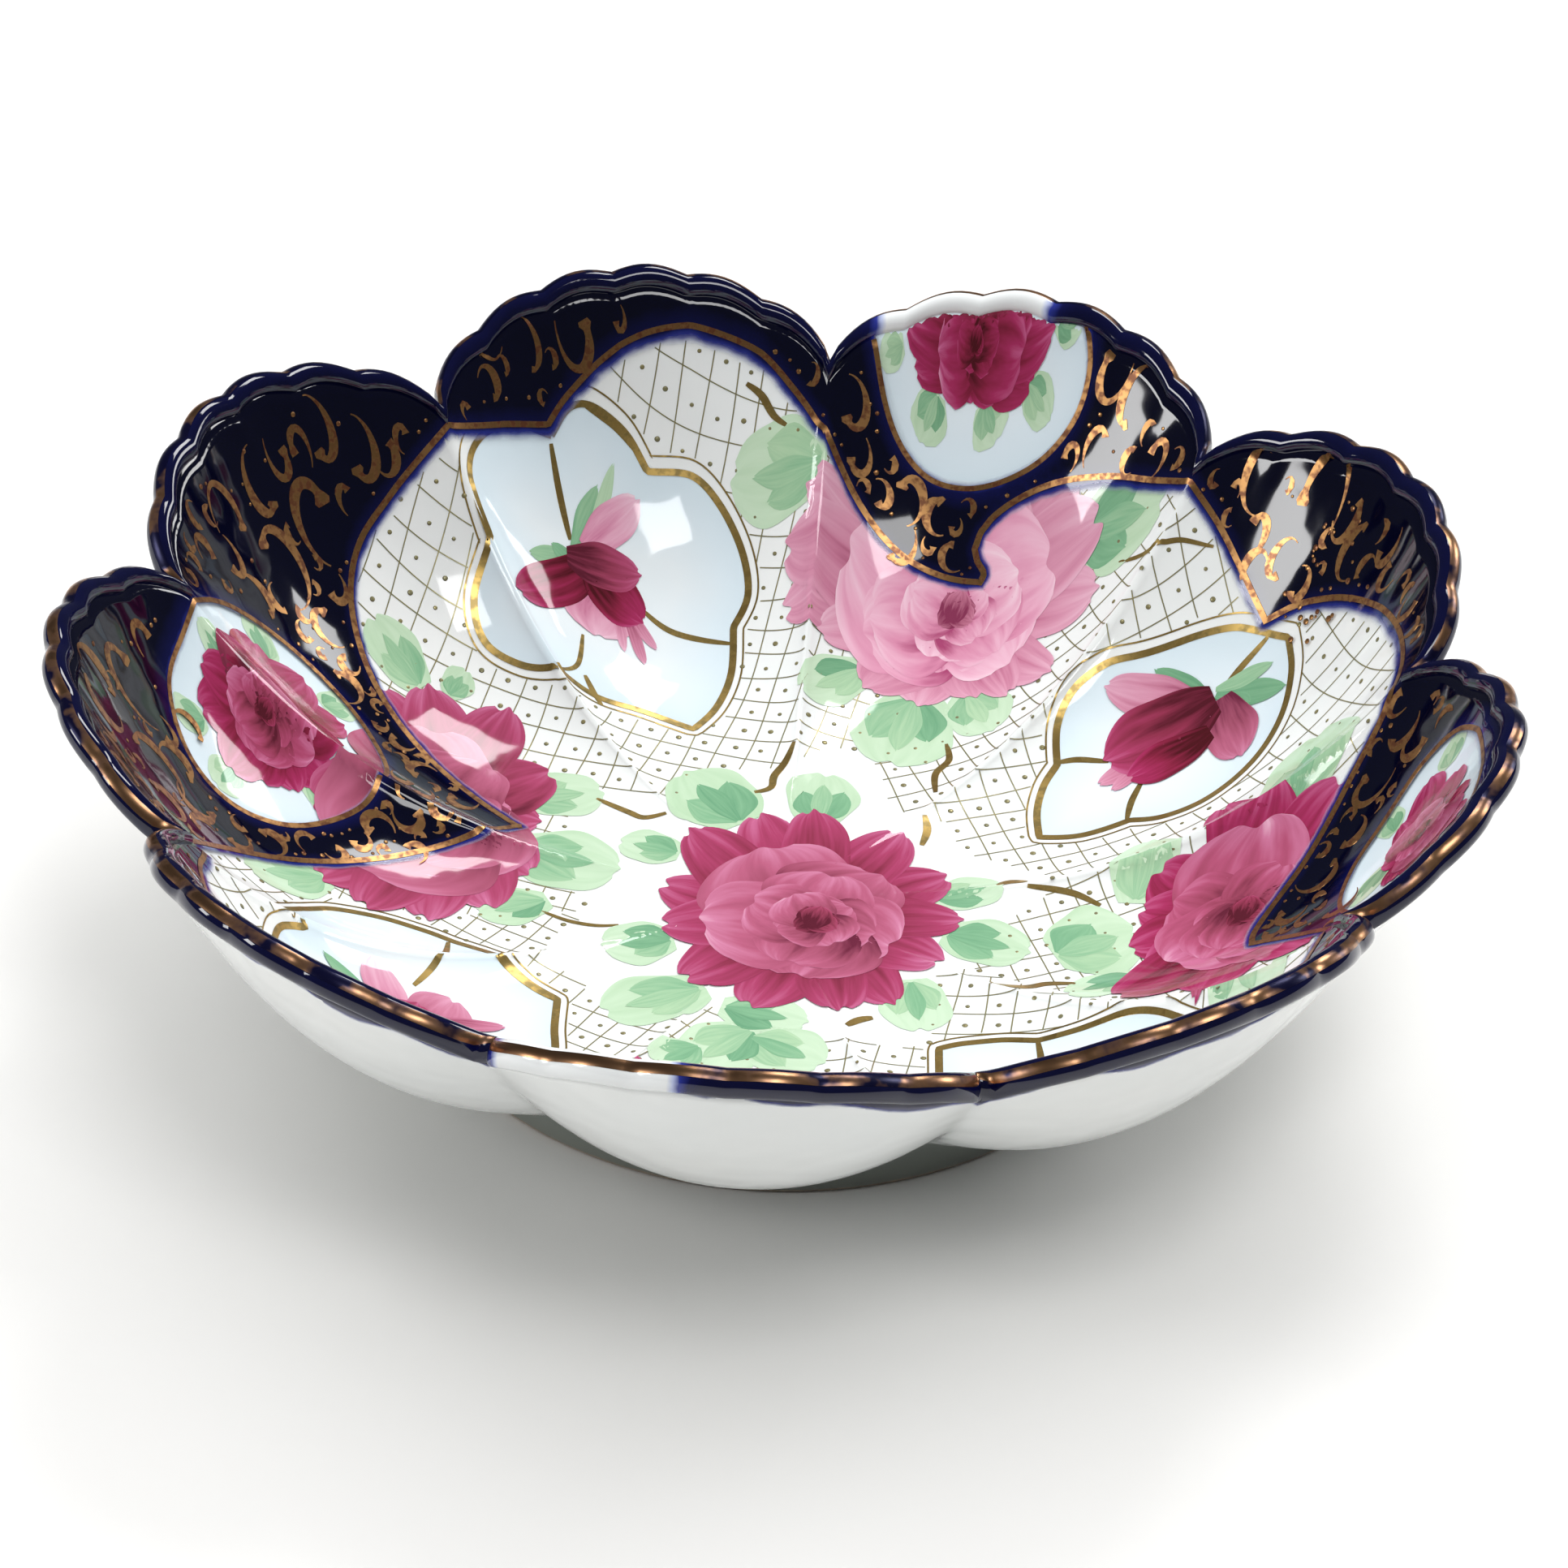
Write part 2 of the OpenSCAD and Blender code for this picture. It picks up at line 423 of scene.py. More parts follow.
# the wall's rule, as on the CAD bowl; its top edge is a hair narrower and lower, so that the fine
# crest stays inside the CAD bowl's box (lengths in metres)
wall = dict(lobes=9, turn=math.radians(7), rimR=0.12264, notchIn=0.013, rimZ=0.07034, notchDrop=0.013,
            floorZ=0.014, creaseRise=3.3, lobeRise=5.0, lobeRound=0.66, ruffles=6, ruffleUp=0.001,
            ruffleOut=0.0009, ruffleFade=0.13)
shellPlan = dict(thickness=0.0031, grooveSoft=0.34, grooveTop=0.04, seatMargin=0.0015, blend=0.45,
                 spokesPerRuffle=10, innerRows=84, outerRows=48, rowSpread=0.7)
wallRule = """
swing = sin(lobes * (angle - turn) / 2)
weight = ((swing * swing + soft * soft) / (1 + soft * soft)) ** (lobeRound / 2)
topR = rimR - notchIn * (1 - weight)
topZ = rimZ - notchDrop * (1 - weight)
rise = creaseRise + (lobeRise - creaseRise) * weight
fade = max(0, (share - 1 + ruffleFade) / ruffleFade)
bump = fade * fade * abs(sin(lobes * ruffles * (angle - turn) / 2))
climb = (topZ - floorZ) * rise * share ** (rise - 1)
size = sqrt(topR * topR + climb * climb)
radius = share * topR + ruffleOut * bump + thick * climb / size
height = floorZ + (topZ - floorZ) * share ** rise + ruffleUp * bump - thick * topR / size
"""
spokes = wall["lobes"] * wall["ruffles"] * shellPlan["spokesPerRuffle"]


def lobeSwing(angle):
    # 0 at a crease of the top edge and 1 at the middle of a lobe
    return abs(math.sin(wall["lobes"] * (angle - wall["turn"]) / 2)) ** wall["lobeRound"]


def ringMesh(name, rows, loop, poles):
    # rows is a list of attribute values for each ring; poles gives those of the two closing points
    mesh = bpy.data.meshes.new(name)
    keys = list(rows[0])
    faces = []
    count = len(rows)
    for j in range(count if loop else count - 1):
        k = (j + 1) % count
        for i in range(spokes):
            n = (i + 1) % spokes
            faces.append((j * spokes + i, k * spokes + i, k * spokes + n, j * spokes + n))
    total = count * spokes
    for which, pole in enumerate(poles):
        row = 0 if which == 0 else count - 1
        for i in range(spokes):
            ends = (row * spokes + i, row * spokes + (i + 1) % spokes)
            faces.append((total + which, *(ends if which == 0 else ends[::-1])))
    mesh.from_pydata([(0, 0, 0)] * (total + len(poles)), [], faces)
    for key in keys:
        values = np.repeat([row[key] for row in rows], spokes).tolist() + [pole[key] for pole in poles]
        setAttribute(mesh, key, values)
    angles = np.tile(wall["turn"] + np.arange(spokes) * 2 * math.pi / spokes, count)
    setAttribute(mesh, "angle", angles.tolist() + [0.0] * len(poles))
    return mesh


def readAttribute(tree, name):
    return addNode(tree, "GeometryNodeInputNamedAttribute", {"Name": name}, data_type="FLOAT").outputs[0]


def finishTree(tree, geometry, end, material):
    smooth = addNode(tree, "GeometryNodeSetShadeSmooth", {"Geometry": geometry})
    real = addNode(tree, "GeometryNodeRealizeInstances", {"Geometry": smooth.outputs[0]})
    coated = addNode(tree, "GeometryNodeSetMaterial", {"Geometry": real.outputs[0], "Material": material})
    tree.links.new(coated.outputs[0], end.inputs["Geometry"])


def placeByRule(tree, start, end, known, material):
    # puts each point where its rule says
    spot = addNode(tree, "ShaderNodeCombineXYZ", {"X": known["x"], "Y": known["y"], "Z": known["z"]})
    moved = addNode(tree, "GeometryNodeSetPosition",
                    {"Geometry": start.outputs["Geometry"], "Position": spot.outputs[0]})
    finishTree(tree, moved.outputs[0], end, material)


def makeShell():
    extra = dict(thickness=shellPlan["thickness"], grooveSoft=shellPlan["grooveSoft"],
                 grooveTop=shellPlan["grooveTop"], seatR=footHigh.x + shellPlan["seatMargin"],
                 footH=footHigh.z, blend=shellPlan["blend"])
    sizes = {**wall, **extra}
    tree, start, end = newTree("lobed shell", sizes)
    known = {size: start.outputs[size] for size in sizes}
    for name in ("angle", "share", "side", "hub"):
        known[name] = readAttribute(tree, name)
    inner = formulaNodes(tree, wallRule, {**known, "soft": 0.0, "thick": 0.0})
    known = formulaNodes(tree, """
seatShare = (seatR - thickness / 2) / (rimR - notchIn)
outShare = seatShare + (1 - seatShare) * share
groove = grooveTop + grooveSoft * (1 - outShare)
""", known)
    outer = formulaNodes(tree, wallRule, {**known, "share": known["outShare"], "soft": known["groove"],
                                          "thick": known["thickness"]})
    known.update(innerR=inner["radius"], innerZ=inner["height"])
    known.update(outerR=outer["radius"], outerZ=outer["height"])
    known = formulaNodes(tree, """
step = min(1, share / blend)
ease = step * step * (3 - 2 * step)
underR = seatR + ease * (outerR - seatR)
underZ = footH + ease * (outerZ - footH)
radius = hub * (innerR * (1 - side) + underR * side)
x = radius * cos(angle)
y = radius * sin(angle)
z = innerZ * (1 - side) + underZ * side
""", known)
    placeByRule(tree, start, end, known, porcelain)
    inside, outside = shellPlan["innerRows"], shellPlan["outerRows"]
    rows = [dict(share=(j / inside) ** shellPlan["rowSpread"], side=0, hub=1) for j in range(1, inside + 1)]
    rows += [dict(share=1 - j / outside, side=1, hub=1) for j in range(outside + 1)]
    poles = [dict(share=0, side=0, hub=1), dict(share=0, side=1, hub=0)]
    shell = newObject("bowlShell", ringMesh("bowlShell", rows, False, poles))
    return runTree(shell, tree, sizes)


# metres, and shares of the lip's arc from the outside over the crest to the inside
lipPlan = dict(radius=0.0024, gildingLift=0.00004, gildingFrom=0.43, gildingTo=0.6)


def makeLip(name, material, radiusGain, arcStart, arcEnd, steps, closed):
    # sweeps the rolled section, or a part of its arc, round the rim
    extra = dict(thickness=shellPlan["thickness"], grooveTop=shellPlan["grooveTop"],
                 lipR=lipPlan["radius"], gain=radiusGain)
    sizes = {**wall, **extra}
    tree, start, end = newTree("rolled lip", sizes)
    known = {size: start.outputs[size] for size in sizes}
    for key in ("angle", "arc"):
        known[key] = readAttribute(tree, key)
    inner = formulaNodes(tree, wallRule, {**known, "share": 1.0, "soft": 0.0, "thick": 0.0})
    outer = formulaNodes(tree, wallRule, {**known, "share": 1.0, "soft": known["grooveTop"],
                                          "thick": known["thickness"]})
    known.update(inR=inner["radius"], inZ=inner["height"], outR=outer["radius"], outZ=outer["height"])
    known = formulaNodes(tree, """
alongR = outR - inR
alongZ = outZ - inZ
span = sqrt(alongR * alongR + alongZ * alongZ)
half = span / 2
unitR = alongR / span
unitZ = alongZ / span
roll = max(lipR, half * 1.05)
lift = sqrt(roll * roll - half * half)
midR = (inR + outR) / 2 - lift * unitZ
midZ = (inZ + outZ) / 2 + lift * unitR
begin = 0 - asin(lift / roll)
turned = begin + (3.14159265 - 2 * begin) * arc
reach = roll + gain
radius = midR + reach * (cos(turned) * unitR - sin(turned) * unitZ)
x = radius * cos(angle)
y = radius * sin(angle)
z = midZ + reach * (cos(turned) * unitZ + sin(turned) * unitR)
""", known)
    placeByRule(tree, start, end, known, material)
    rows = [dict(arc=arcStart + (arcEnd - arcStart) * j / steps) for j in range(steps + 1)]
    lip = newObject(name, ringMesh(name, rows, closed, []))
    return runTree(lip, tree, sizes)


bowlShell = makeShell()
rolledLip = makeLip("rolledLip", lipCobalt, 0.0, 0.0, 1.0, 18, True)
giltEdge = makeLip("giltEdge", rimGilding, lipPlan["gildingLift"], lipPlan["gildingFrom"],
                   lipPlan["gildingTo"], 8, False)
normals = np.empty(len(bowlShell.data.vertices) * 3, np.float32)
bowlShell.data.vertex_normals.foreach_get("vector", normals)
setAttribute(bowlShell.data, "wallNormal", normals, "FLOAT_VECTOR")
print("shell and lip made", len(bowlShell.data.polygons), len(rolledLip.data.polygons))


# metres, then how many steps round a corner and round the foot
footPlan = dict(width=0.008, taper=0.0006, soften=0.0012, fillet=0.0005, cornerSteps=6, around=256)


def makeFoot():
    # a turned ring with rounded edges and a small fillet under the shell
    low, high, outside = footLow.z, footHigh.z, footHigh.x
    inside = outside - footPlan["width"]
    taper, soften, steps = footPlan["taper"], footPlan["soften"], footPlan["cornerSteps"]
    profile = [(inside - footPlan["fillet"], high), (inside + taper * 0.4, high * 0.8),
               (inside + taper, low + soften * 1.5)]
    for centre, first in ((inside + taper + soften, math.pi), (outside - taper - soften, 1.5 * math.pi)):
        for turn in range(steps + 1):
            a = first + math.pi / 2 * turn / steps
            profile.append((centre + soften * math.cos(a), low + soften * (1 + math.sin(a))))
    profile += [(outside - taper * 0.7, high * 0.5), (outside - taper * 0.4, high * 0.8), (outside, high)]
    around = footPlan["around"]
    points, faces = [], []
    for i in range(around):
        a = 2 * math.pi * i / around
        points += [(r * math.cos(a), r * math.sin(a), z) for r, z in profile]
    count = len(profile)
    for i in range(around):
        n = (i + 1) % around
        for j in range(count):
            k = (j + 1) % count
            faces.append((i * count + j, i * count + k, n * count + k, n * count + j))
    mesh = bpy.data.meshes.new("footRing")
    mesh.from_pydata(points, [], faces)
    mesh.shade_smooth()
    return newObject("footRing", mesh)


footRing = makeFoot()

# metres that each layer of paint stands off the glaze, in the order it was laid
lifts = dict(wash=0.00003, lattice=0.00005, panelLine=0.00008, leaf=0.0001, petal=0.00019, cobalt=0.00046,
             scroll=0.0005, outline=0.00053)
# the painted plan, in millimetres seen from above: the white field inside the cobalt, the reserves in
# the cobalt and the panels with buds; a third number marks a corner, the rest lie on a smooth line
fieldEdge = [
    (-46, 17, 1), (-55, 24.5), (-64, 33), (-72, 42), (-78, 51), (-81, 60), (-80, 68), (-75, 76), (-69, 83),
    (-62, 89.5), (-54, 95.5), (-47, 99.5, 1), (-43.5, 104.5), (-37, 110.5), (-28, 115), (-18, 116),
    (-8, 113.7), (-0.5, 108.5), (5, 102.5), (12, 95.5), (20, 90), (29, 86.3), (37, 84.3, 1), (38.5, 87),
    (36.5, 91), (39, 94), (45, 95.3), (52, 94.3), (60, 90.5), (67, 85), (73, 79.5), (79, 72.5), (84, 64),
    (88, 55.5, 1), (94, 54), (100, 49.5), (104.5, 43.5), (107.7, 36), (109, 28), (108.5, 19.5), (105.5, 12),
    (100, 5.5), (93, -3.5), (87, -10.5), (83, -17), (82.5, -21.5, 1), (87, -23.5), (93, -29), (97, -38),
    (98, -47), (90, -58), (85, -66), (80, -76), (74, -84), (66, -90), (58, -93, 1), (50, -96.5),
    (42, -98.5), (31, -101.5), (22, -105), (12, -105), (3, -100), (-4, -92), (-9, -83), (-13, -75),
    (-17, -69, 1), (-22, -76), (-27, -84), (-33, -91), (-40, -96), (-48, -98.5), (-57, -97.5), (-65, -93),
    (-72, -86.5, 1), (-80, -81.5), (-87, -73), (-92, -64), (-95, -54.5), (-95, -48), (-98, -40),
    (-100, -32), (-99, -24.5), (-95, -17), (-88, -10.5), (-78, -4), (-67, 2.5), (-56, 9.5),
]
reserves = dict(
    left=[(-109, 8), (-107.5, 19), (-104, 31), (-98, 38), (-90, 40.5), (-81.5, 37.5), (-75.5, 30.5),
          (-72.5, 22), (-74.5, 13.5), (-80.5, 6.5), (-89, 0), (-98, -3), (-105, -0.5)],
    back=[(14, 121), (15.5, 113), (19, 106.5), (25, 102), (33, 100), (42, 99.7), (49, 100.5), (54, 103),
          (55.5, 107.5), (53, 112.5), (48, 118), (40, 124), (24, 126)],
    right=[(106, -9.5), (101, -14.5), (98.3, -22), (99, -29.5), (103, -36), (109, -39.5), (114.5, -37),
           (117.5, -30), (119, -22), (119, -13), (116.5, -6.5), (111.5, -5.5)],
    front=[(-6, -122), (-7, -113), (-11, -104), (-18, -98), (-26, -96), (-34, -98), (-40, -103),
           (-45, -109), (-46, -114), (-40, -122), (-25, -126)],
)
panels = dict(
    left=[(-47, 99.5, 1), (-54, 97), (-60, 91), (-61.5, 84), (-57, 75.5, 1), (-59.5, 68), (-57, 61.5),
          (-50, 58.2), (-43, 57.2, 1), (-36, 55.5), (-27, 55), (-17, 51.5, 1), (-13, 58), (-10.5, 67),
          (-10.5, 77.5, 1), (-8, 83.5), (-9.5, 91), (-14, 98), (-20, 102), (-28.5, 101.5, 1), (-33, 105),
          (-39.5, 106), (-44, 104)],
    right=[(88, 55.5, 1), (83, 58.8), (76, 60.2), (66, 59.8, 1), (60, 59), (54, 55), (51, 49), (51, 41, 1),
           (48.5, 36), (47.2, 29), (47.5, 21.5, 1), (55, 21.5), (64, 24.5, 1), (70, 23.5), (78, 25),
           (86, 30), (91, 37), (93, 45), (92.5, 51.5, 1)],
    frontLeft=[(-83, -23, 1), (-78, -17.5), (-70, -15.5), (-62, -17), (-56.5, -19.5, 1), (-51, -22),
               (-46, -26), (-42, -29.5), (-37.5, -32.5, 1), (-37.5, -41), (-37, -50), (-39, -60),
               (-45, -68, 1),
               (-52, -75), (-61, -77), (-67, -72.5, 1), (-76, -68), (-83, -58), (-84, -47.5), (-80, -42, 1),
               (-84, -36), (-85.5, -29)],
    frontRight=[(29, -51, 1), (29, -42, 1), (33, -40.5), (40, -39.8), (46, -41, 1), (52, -40.5), (60, -41),
                (66, -45), (71, -52, 1), (76, -60), (76, -70), (70, -77), (62, -79, 1), (57, -86),
                (48, -90), (39, -88), (33, -81.5, 1), (26, -78), (22, -70), (24, -60)],
)


def smoothLine(points, closed, gap=0.8):
    # a Catmull-Rom line in metres through plan points in millimetres, broken at the marked corners
    places = [np.array(p[:2], float) for p in points]
    corner = [len(p) > 2 for p in points]
    count = len(places)
    line = []
    for k in range(count if closed else count - 1):
        a, b = places[k], places[(k + 1) % count]
        before = a if corner[k] or (k == 0 and not closed) else places[k - 1]
        last = (k + 2) % count if closed else min(k + 2, count - 1)
        after = b if corner[(k + 1) % count] else places[last]
        slopeA, slopeB = (b - before) / 2, (after - a) / 2
        steps = max(2, int(np.linalg.norm(b - a) / gap))
        for s in np.arange(steps) / steps:
            line.append((2 * s**3 - 3 * s**2 + 1) * a + (s**3 - 2 * s**2 + s) * slopeA
                        + (3 * s**2 - 2 * s**3) * b + (s**3 - s**2) * slopeB)
    if not closed:
        line.append(places[-1])
    return np.array(line) * millimetre


def depthInside(spots, outline):
    # distance in millimetres from each spot to a closed outline, positive inside, -50 well outside
    margin = 6 * millimetre
    near = ((spots > outline.min(0) - margin) & (spots < outline.max(0) + margin)).all(1)
    result = np.full(len(spots), -50.0)
    spots = spots[near]
    nearest = np.full(len(spots), 1e9)
    inside = np.zeros(len(spots), bool)
    for a, b in zip(outline, np.roll(outline, -1, axis=0)):
        edge = b - a
        along = np.clip(((spots - a) @ edge) / max(edge @ edge, 1e-12), 0, 1)
        away = spots - a - along[:, None] * edge
        nearest = np.minimum(nearest, (away**2).sum(1))
        crosses = (a[1] > spots[:, 1]) != (b[1] > spots[:, 1])
        if a[1] != b[1]:
            inside ^= crosses & (spots[:, 0] < (b[0] - a[0]) * (spots[:, 1] - a[1]) / (b[1] - a[1]) + a[0])
    result[near] = np.sqrt(nearest) / millimetre * np.where(inside, 1, -1)
    return result


fieldLine = smoothLine(fieldEdge, True, 1.4)
reserveLines = {name: smoothLine(points, True) for name, points in reserves.items()}
panelLines = {name: smoothLine(points, True) for name, points in panels.items()}


def groundDepth(spots):
    # how deep in the cobalt each plan spot lies, in millimetres
    white = depthInside(spots, fieldLine)
    for line in reserveLines.values():
        white = np.maximum(white, depthInside(spots, line))
    return -white


def washDepth(spots):
    # the same for the pale blue of the reserves and panels
    blue = [depthInside(spots, line) for line in [*reserveLines.values(), *panelLines.values()]]
    return np.max(blue, axis=0)


shellPlaces = vertexPlaces(bowlShell.data)
shellSpots = shellPlaces[:, :2].astype(float)
cobaltDepth, blueDepth = groundDepth(shellSpots), washDepth(shellSpots)
sides = np.empty(len(bowlShell.data.vertices), np.float32)
bowlShell.data.attributes["side"].data.foreach_get("value", sides)


def skinFrom(name, mask, lift, **depths):
    # a skin of the shell's own inside faces that the mask keeps, a little proud of the glaze
    source = bowlShell.data
    places = vertexPlaces(source) + lift * normals.reshape(-1, 3)
    faces = [list(f.vertices) for f in source.polygons if all(mask[v] for v in f.vertices)]
    used = sorted({v for f in faces for v in f})
    index = {v: k for k, v in enumerate(used)}
    mesh = bpy.data.meshes.new(name)
    mesh.from_pydata(places[used].tolist(), [], [[index[v] for v in f] for f in faces])
    mesh.shade_smooth()
    for key, values in depths.items():
        setAttribute(mesh, key, np.asarray(values)[used])
    mesh.normals_split_custom_set_from_vertices(normals.reshape(-1, 3)[used].tolist())
    return newObject(name, mesh)


# millimetres: each skin reaches this far past its outline, where it is clear
skinMargin = 2.5
# how far the cobalt laps over the lip, in millimetres, and its waves: size, count and shift
lapPlan = dict(depth=2.4, waves=[(1.1, 17, 0), (0.8, 41, 2)], endSlope=0.7, downSlope=0.8)
# azimuths between which the lip is white, in degrees
bareLip = [(67, 83), (-112, -96)]
insideWall = sides < 0.5
cobaltGround = skinFrom("cobaltGround", insideWall & (cobaltDepth > -skinMargin), lifts["cobalt"],
                        depth=cobaltDepth)
blueWash = skinFrom("blueWash", insideWall & (blueDepth > -skinMargin), lifts["wash"], depth=blueDepth)
shellAzimuth = np.arctan2(shellPlaces[:, 1], shellPlaces[:, 0])
topEdge = np.array([wall["rimZ"] - wall["notchDrop"] * (1 - lobeSwing(a)) for a in shellAzimuth])
below = (topEdge - shellPlaces[:, 2]) / millimetre
lapDepth = lapPlan["depth"] - below
for size, count, shift in lapPlan["waves"]:
    lapDepth += size * np.sin(count * shellAzimuth + shift)
for low, high in bareLip:
    pastEnd = np.abs(np.degrees(shellAzimuth) - (low + high) / 2) - (high - low) / 2
    lapDepth = np.minimum(lapDepth, lapPlan["endSlope"] * pastEnd - below * lapPlan["downSlope"])
cobaltLap = skinFrom("cobaltLap", ~insideWall & (lapDepth > -skinMargin), lifts["wash"], depth=lapDepth)
print("ground colours laid", len(cobaltGround.data.polygons), len(blueWash.data.polygons))

# laying lines, dots and enamel on the wall, dropped from well above the rim (metres)
dropHeight = 0.2


def keptNormal(tree):
    return addNode(tree, "GeometryNodeInputNamedAttribute", {"Name": "wallNormal"},
                   data_type="FLOAT_VECTOR").outputs[0]


def landOnWall(tree, geometry, lift):
    # drops each point straight down on the shell and deletes what misses it; the rest stands off the
    # glaze by the lift and by the height the point had, and keeps the wall's normal there
    flat = addNode(tree, "GeometryNodeInputPosition").outputs[0]
    flat = addNode(tree, "ShaderNodeSeparateXYZ", {"Vector": flat})
    above = addNode(tree, "ShaderNodeCombineXYZ",
                    {"X": flat.outputs["X"], "Y": flat.outputs["Y"], "Z": dropHeight})
    target = addNode(tree, "GeometryNodeObjectInfo", {"Object": bowlShell})
    ray = addNode(tree, "GeometryNodeRaycast",
                  {"Target Geometry": target.outputs["Geometry"], "Attribute": keptNormal(tree),
                   "Source Position": above.outputs[0], "Ray Direction": (0, 0, -1), "Ray Length": 1.0},
                  data_type="FLOAT_VECTOR", mapping="INTERPOLATED")
    facing = ray.outputs["Attribute"]
    missed = addNode(tree, "FunctionNodeBooleanMath", {0: ray.outputs["Is Hit"]}, operation="NOT")
    hit = addNode(tree, "GeometryNodeDeleteGeometry",
                  {"Geometry": geometry, "Selection": missed.outputs[0]})
    known = addNode(tree, "GeometryNodeStoreNamedAttribute",
                    {"Geometry": hit.outputs[0], "Name": "wallNormal", "Value": facing},
                    data_type="FLOAT_VECTOR", domain="POINT")
    depth = addNode(tree, "ShaderNodeMath", {0: lift, 1: flat.outputs["Z"]}, operation="ADD")
    raised = addNode(tree, "ShaderNodeVectorMath", {0: facing, "Scale": depth.outputs[0]},
                     operation="SCALE")
    spot = addNode(tree, "ShaderNodeVectorMath", {0: ray.outputs["Hit Position"], 1: raised.outputs[0]},
                   operation="ADD")
    laid = addNode(tree, "GeometryNodeSetPosition",
                   {"Geometry": known.outputs[0], "Position": spot.outputs[0]})
    return laid.outputs[0], facing


def shadeLikeWall(obj):
    # paint is thinner than its own edge, so it catches the light as the wall under it does
    turned = np.empty(len(obj.data.vertices) * 3, np.float32)
    obj.data.attributes["wallNormal"].data.foreach_get("vector", turned)
    obj.data.normals_split_custom_set_from_vertices(turned.reshape(-1, 3).tolist())
    return obj


def layStrokes(name, strokes, material, lift, height=0.08, gap=0.0007):
    # strokes holds plan lines with half widths in millimetres; height is a share of the half width
    points, edges, wide = [], [], []
    for line, widths in strokes:
        first = len(points)
        points += [(x, y, 0) for x, y in line]
        wide += list(np.broadcast_to(widths, len(line)) * millimetre)
        edges += [(first + k, first + k + 1) for k in range(len(line) - 1)]
    mesh = bpy.data.meshes.new(name)
    mesh.from_pydata(points, edges, [])
    setAttribute(mesh, "wide", wide)
    sizes = dict(lift=lift, height=height, gap=gap)
    tree, start, end = newTree("painted stroke " + name, sizes)
    curve = addNode(tree, "GeometryNodeMeshToCurve", {"Mesh": start.outputs["Geometry"]})
    even = addNode(tree, "GeometryNodeResampleCurve",
                   {"Curve": curve.outputs[0], "Length": start.outputs["gap"]}, mode="LENGTH")
    laid, facing = landOnWall(tree, even.outputs[0], start.outputs["lift"])
    upright = addNode(tree, "GeometryNodeSetCurveNormal", {"Curve": laid, "Normal": facing}, mode="FREE")
    ring = addNode(tree, "GeometryNodeCurvePrimitiveCircle", {"Resolution": 6, "Radius": 1.0})
    squash = addNode(tree, "ShaderNodeCombineXYZ", {"X": start.outputs["height"], "Y": 1.0, "Z": 1.0})
    brush = addNode(tree, "GeometryNodeTransform",
                    {"Geometry": ring.outputs[0], "Scale": squash.outputs[0]})
    body = addNode(tree, "GeometryNodeCurveToMesh",
                   {"Curve": upright.outputs[0], "Profile Curve": brush.outputs[0],
                    "Scale": readAttribute(tree, "wide"), "Fill Caps": True})
    finishTree(tree, body.outputs[0], end, material)
    return shadeLikeWall(runTree(newObject(name, mesh), tree, sizes))


def layDots(name, spots, material, lift):
    # spots is a list of (x, y, half width in millimetres)
    mesh = bpy.data.meshes.new(name)
    mesh.from_pydata([(x * millimetre, y * millimetre, 0) for x, y, r in spots], [], [])
    setAttribute(mesh, "wide", [r * millimetre for x, y, r in spots])
    sizes = dict(lift=lift)
    tree, start, end = newTree("painted dots " + name, sizes)
    laid = landOnWall(tree, start.outputs["Geometry"], start.outputs["lift"])[0]
    drop = addNode(tree, "GeometryNodeMeshCone",
                   {"Vertices": 10, "Radius Top": 0.6, "Radius Bottom": 1.0, "Depth": 0.12})
    turned = addNode(tree, "FunctionNodeAlignRotationToVector", {"Vector": keptNormal(tree)}, axis="Z")
    copies = addNode(tree, "GeometryNodeInstanceOnPoints",
                     {"Points": laid, "Instance": drop.outputs["Mesh"], "Rotation": turned.outputs[0],
                      "Scale": readAttribute(tree, "wide")})
    finishTree(tree, copies.outputs[0], end, material)
    return runTree(newObject(name, mesh), tree, sizes)


def layEnamel(name, patches, material, lift):
    # patches are flat grids of paint; they are cut along the creases so that they fold with the wall
    points, faces, values = [], [], {"along": [], "across": [], "tone": [], "hue": []}
    for patch in patches:
        first = len(points)
        points += patch["points"]
        faces += [[first + v for v in face] for face in patch["faces"]]
        for key in values:
            values[key] += patch[key]
    mesh = bpy.data.meshes.new(name)
    mesh.from_pydata(points, [], faces)
    for key in values:
        setAttribute(mesh, key, values[key])
    work = bmesh.new()
    work.from_mesh(mesh)
    for k in range(wall["lobes"]):
        crease = wall["turn"] + 2 * math.pi * k / wall["lobes"]
        side = Vector((-math.sin(crease), math.cos(crease), 0))
        bmesh.ops.bisect_plane(work, geom=work.verts[:] + work.edges[:] + work.faces[:], dist=1e-6,
                               plane_co=(0, 0, 0), plane_no=side)
    work.to_mesh(mesh)
    work.free()
    sizes = dict(lift=lift)
    tree, start, end = newTree("laid enamel " + name, sizes)
    laid = landOnWall(tree, start.outputs["Geometry"], start.outputs["lift"])[0]
    finishTree(tree, laid, end, material)
    return shadeLikeWall(runTree(newObject(name, mesh), tree, sizes))


# what every brush mark shares: mesh cell in millimetres, where it stops short of its tip, how blunt
# its base is, how far up it is widest, waves along its edge, and how far its end wanders
markPlan = dict(cell=0.95, stop=0.985, blunt=0.1, widest=1.3, waves=9, wander=0.05, fullTurn=6.28)


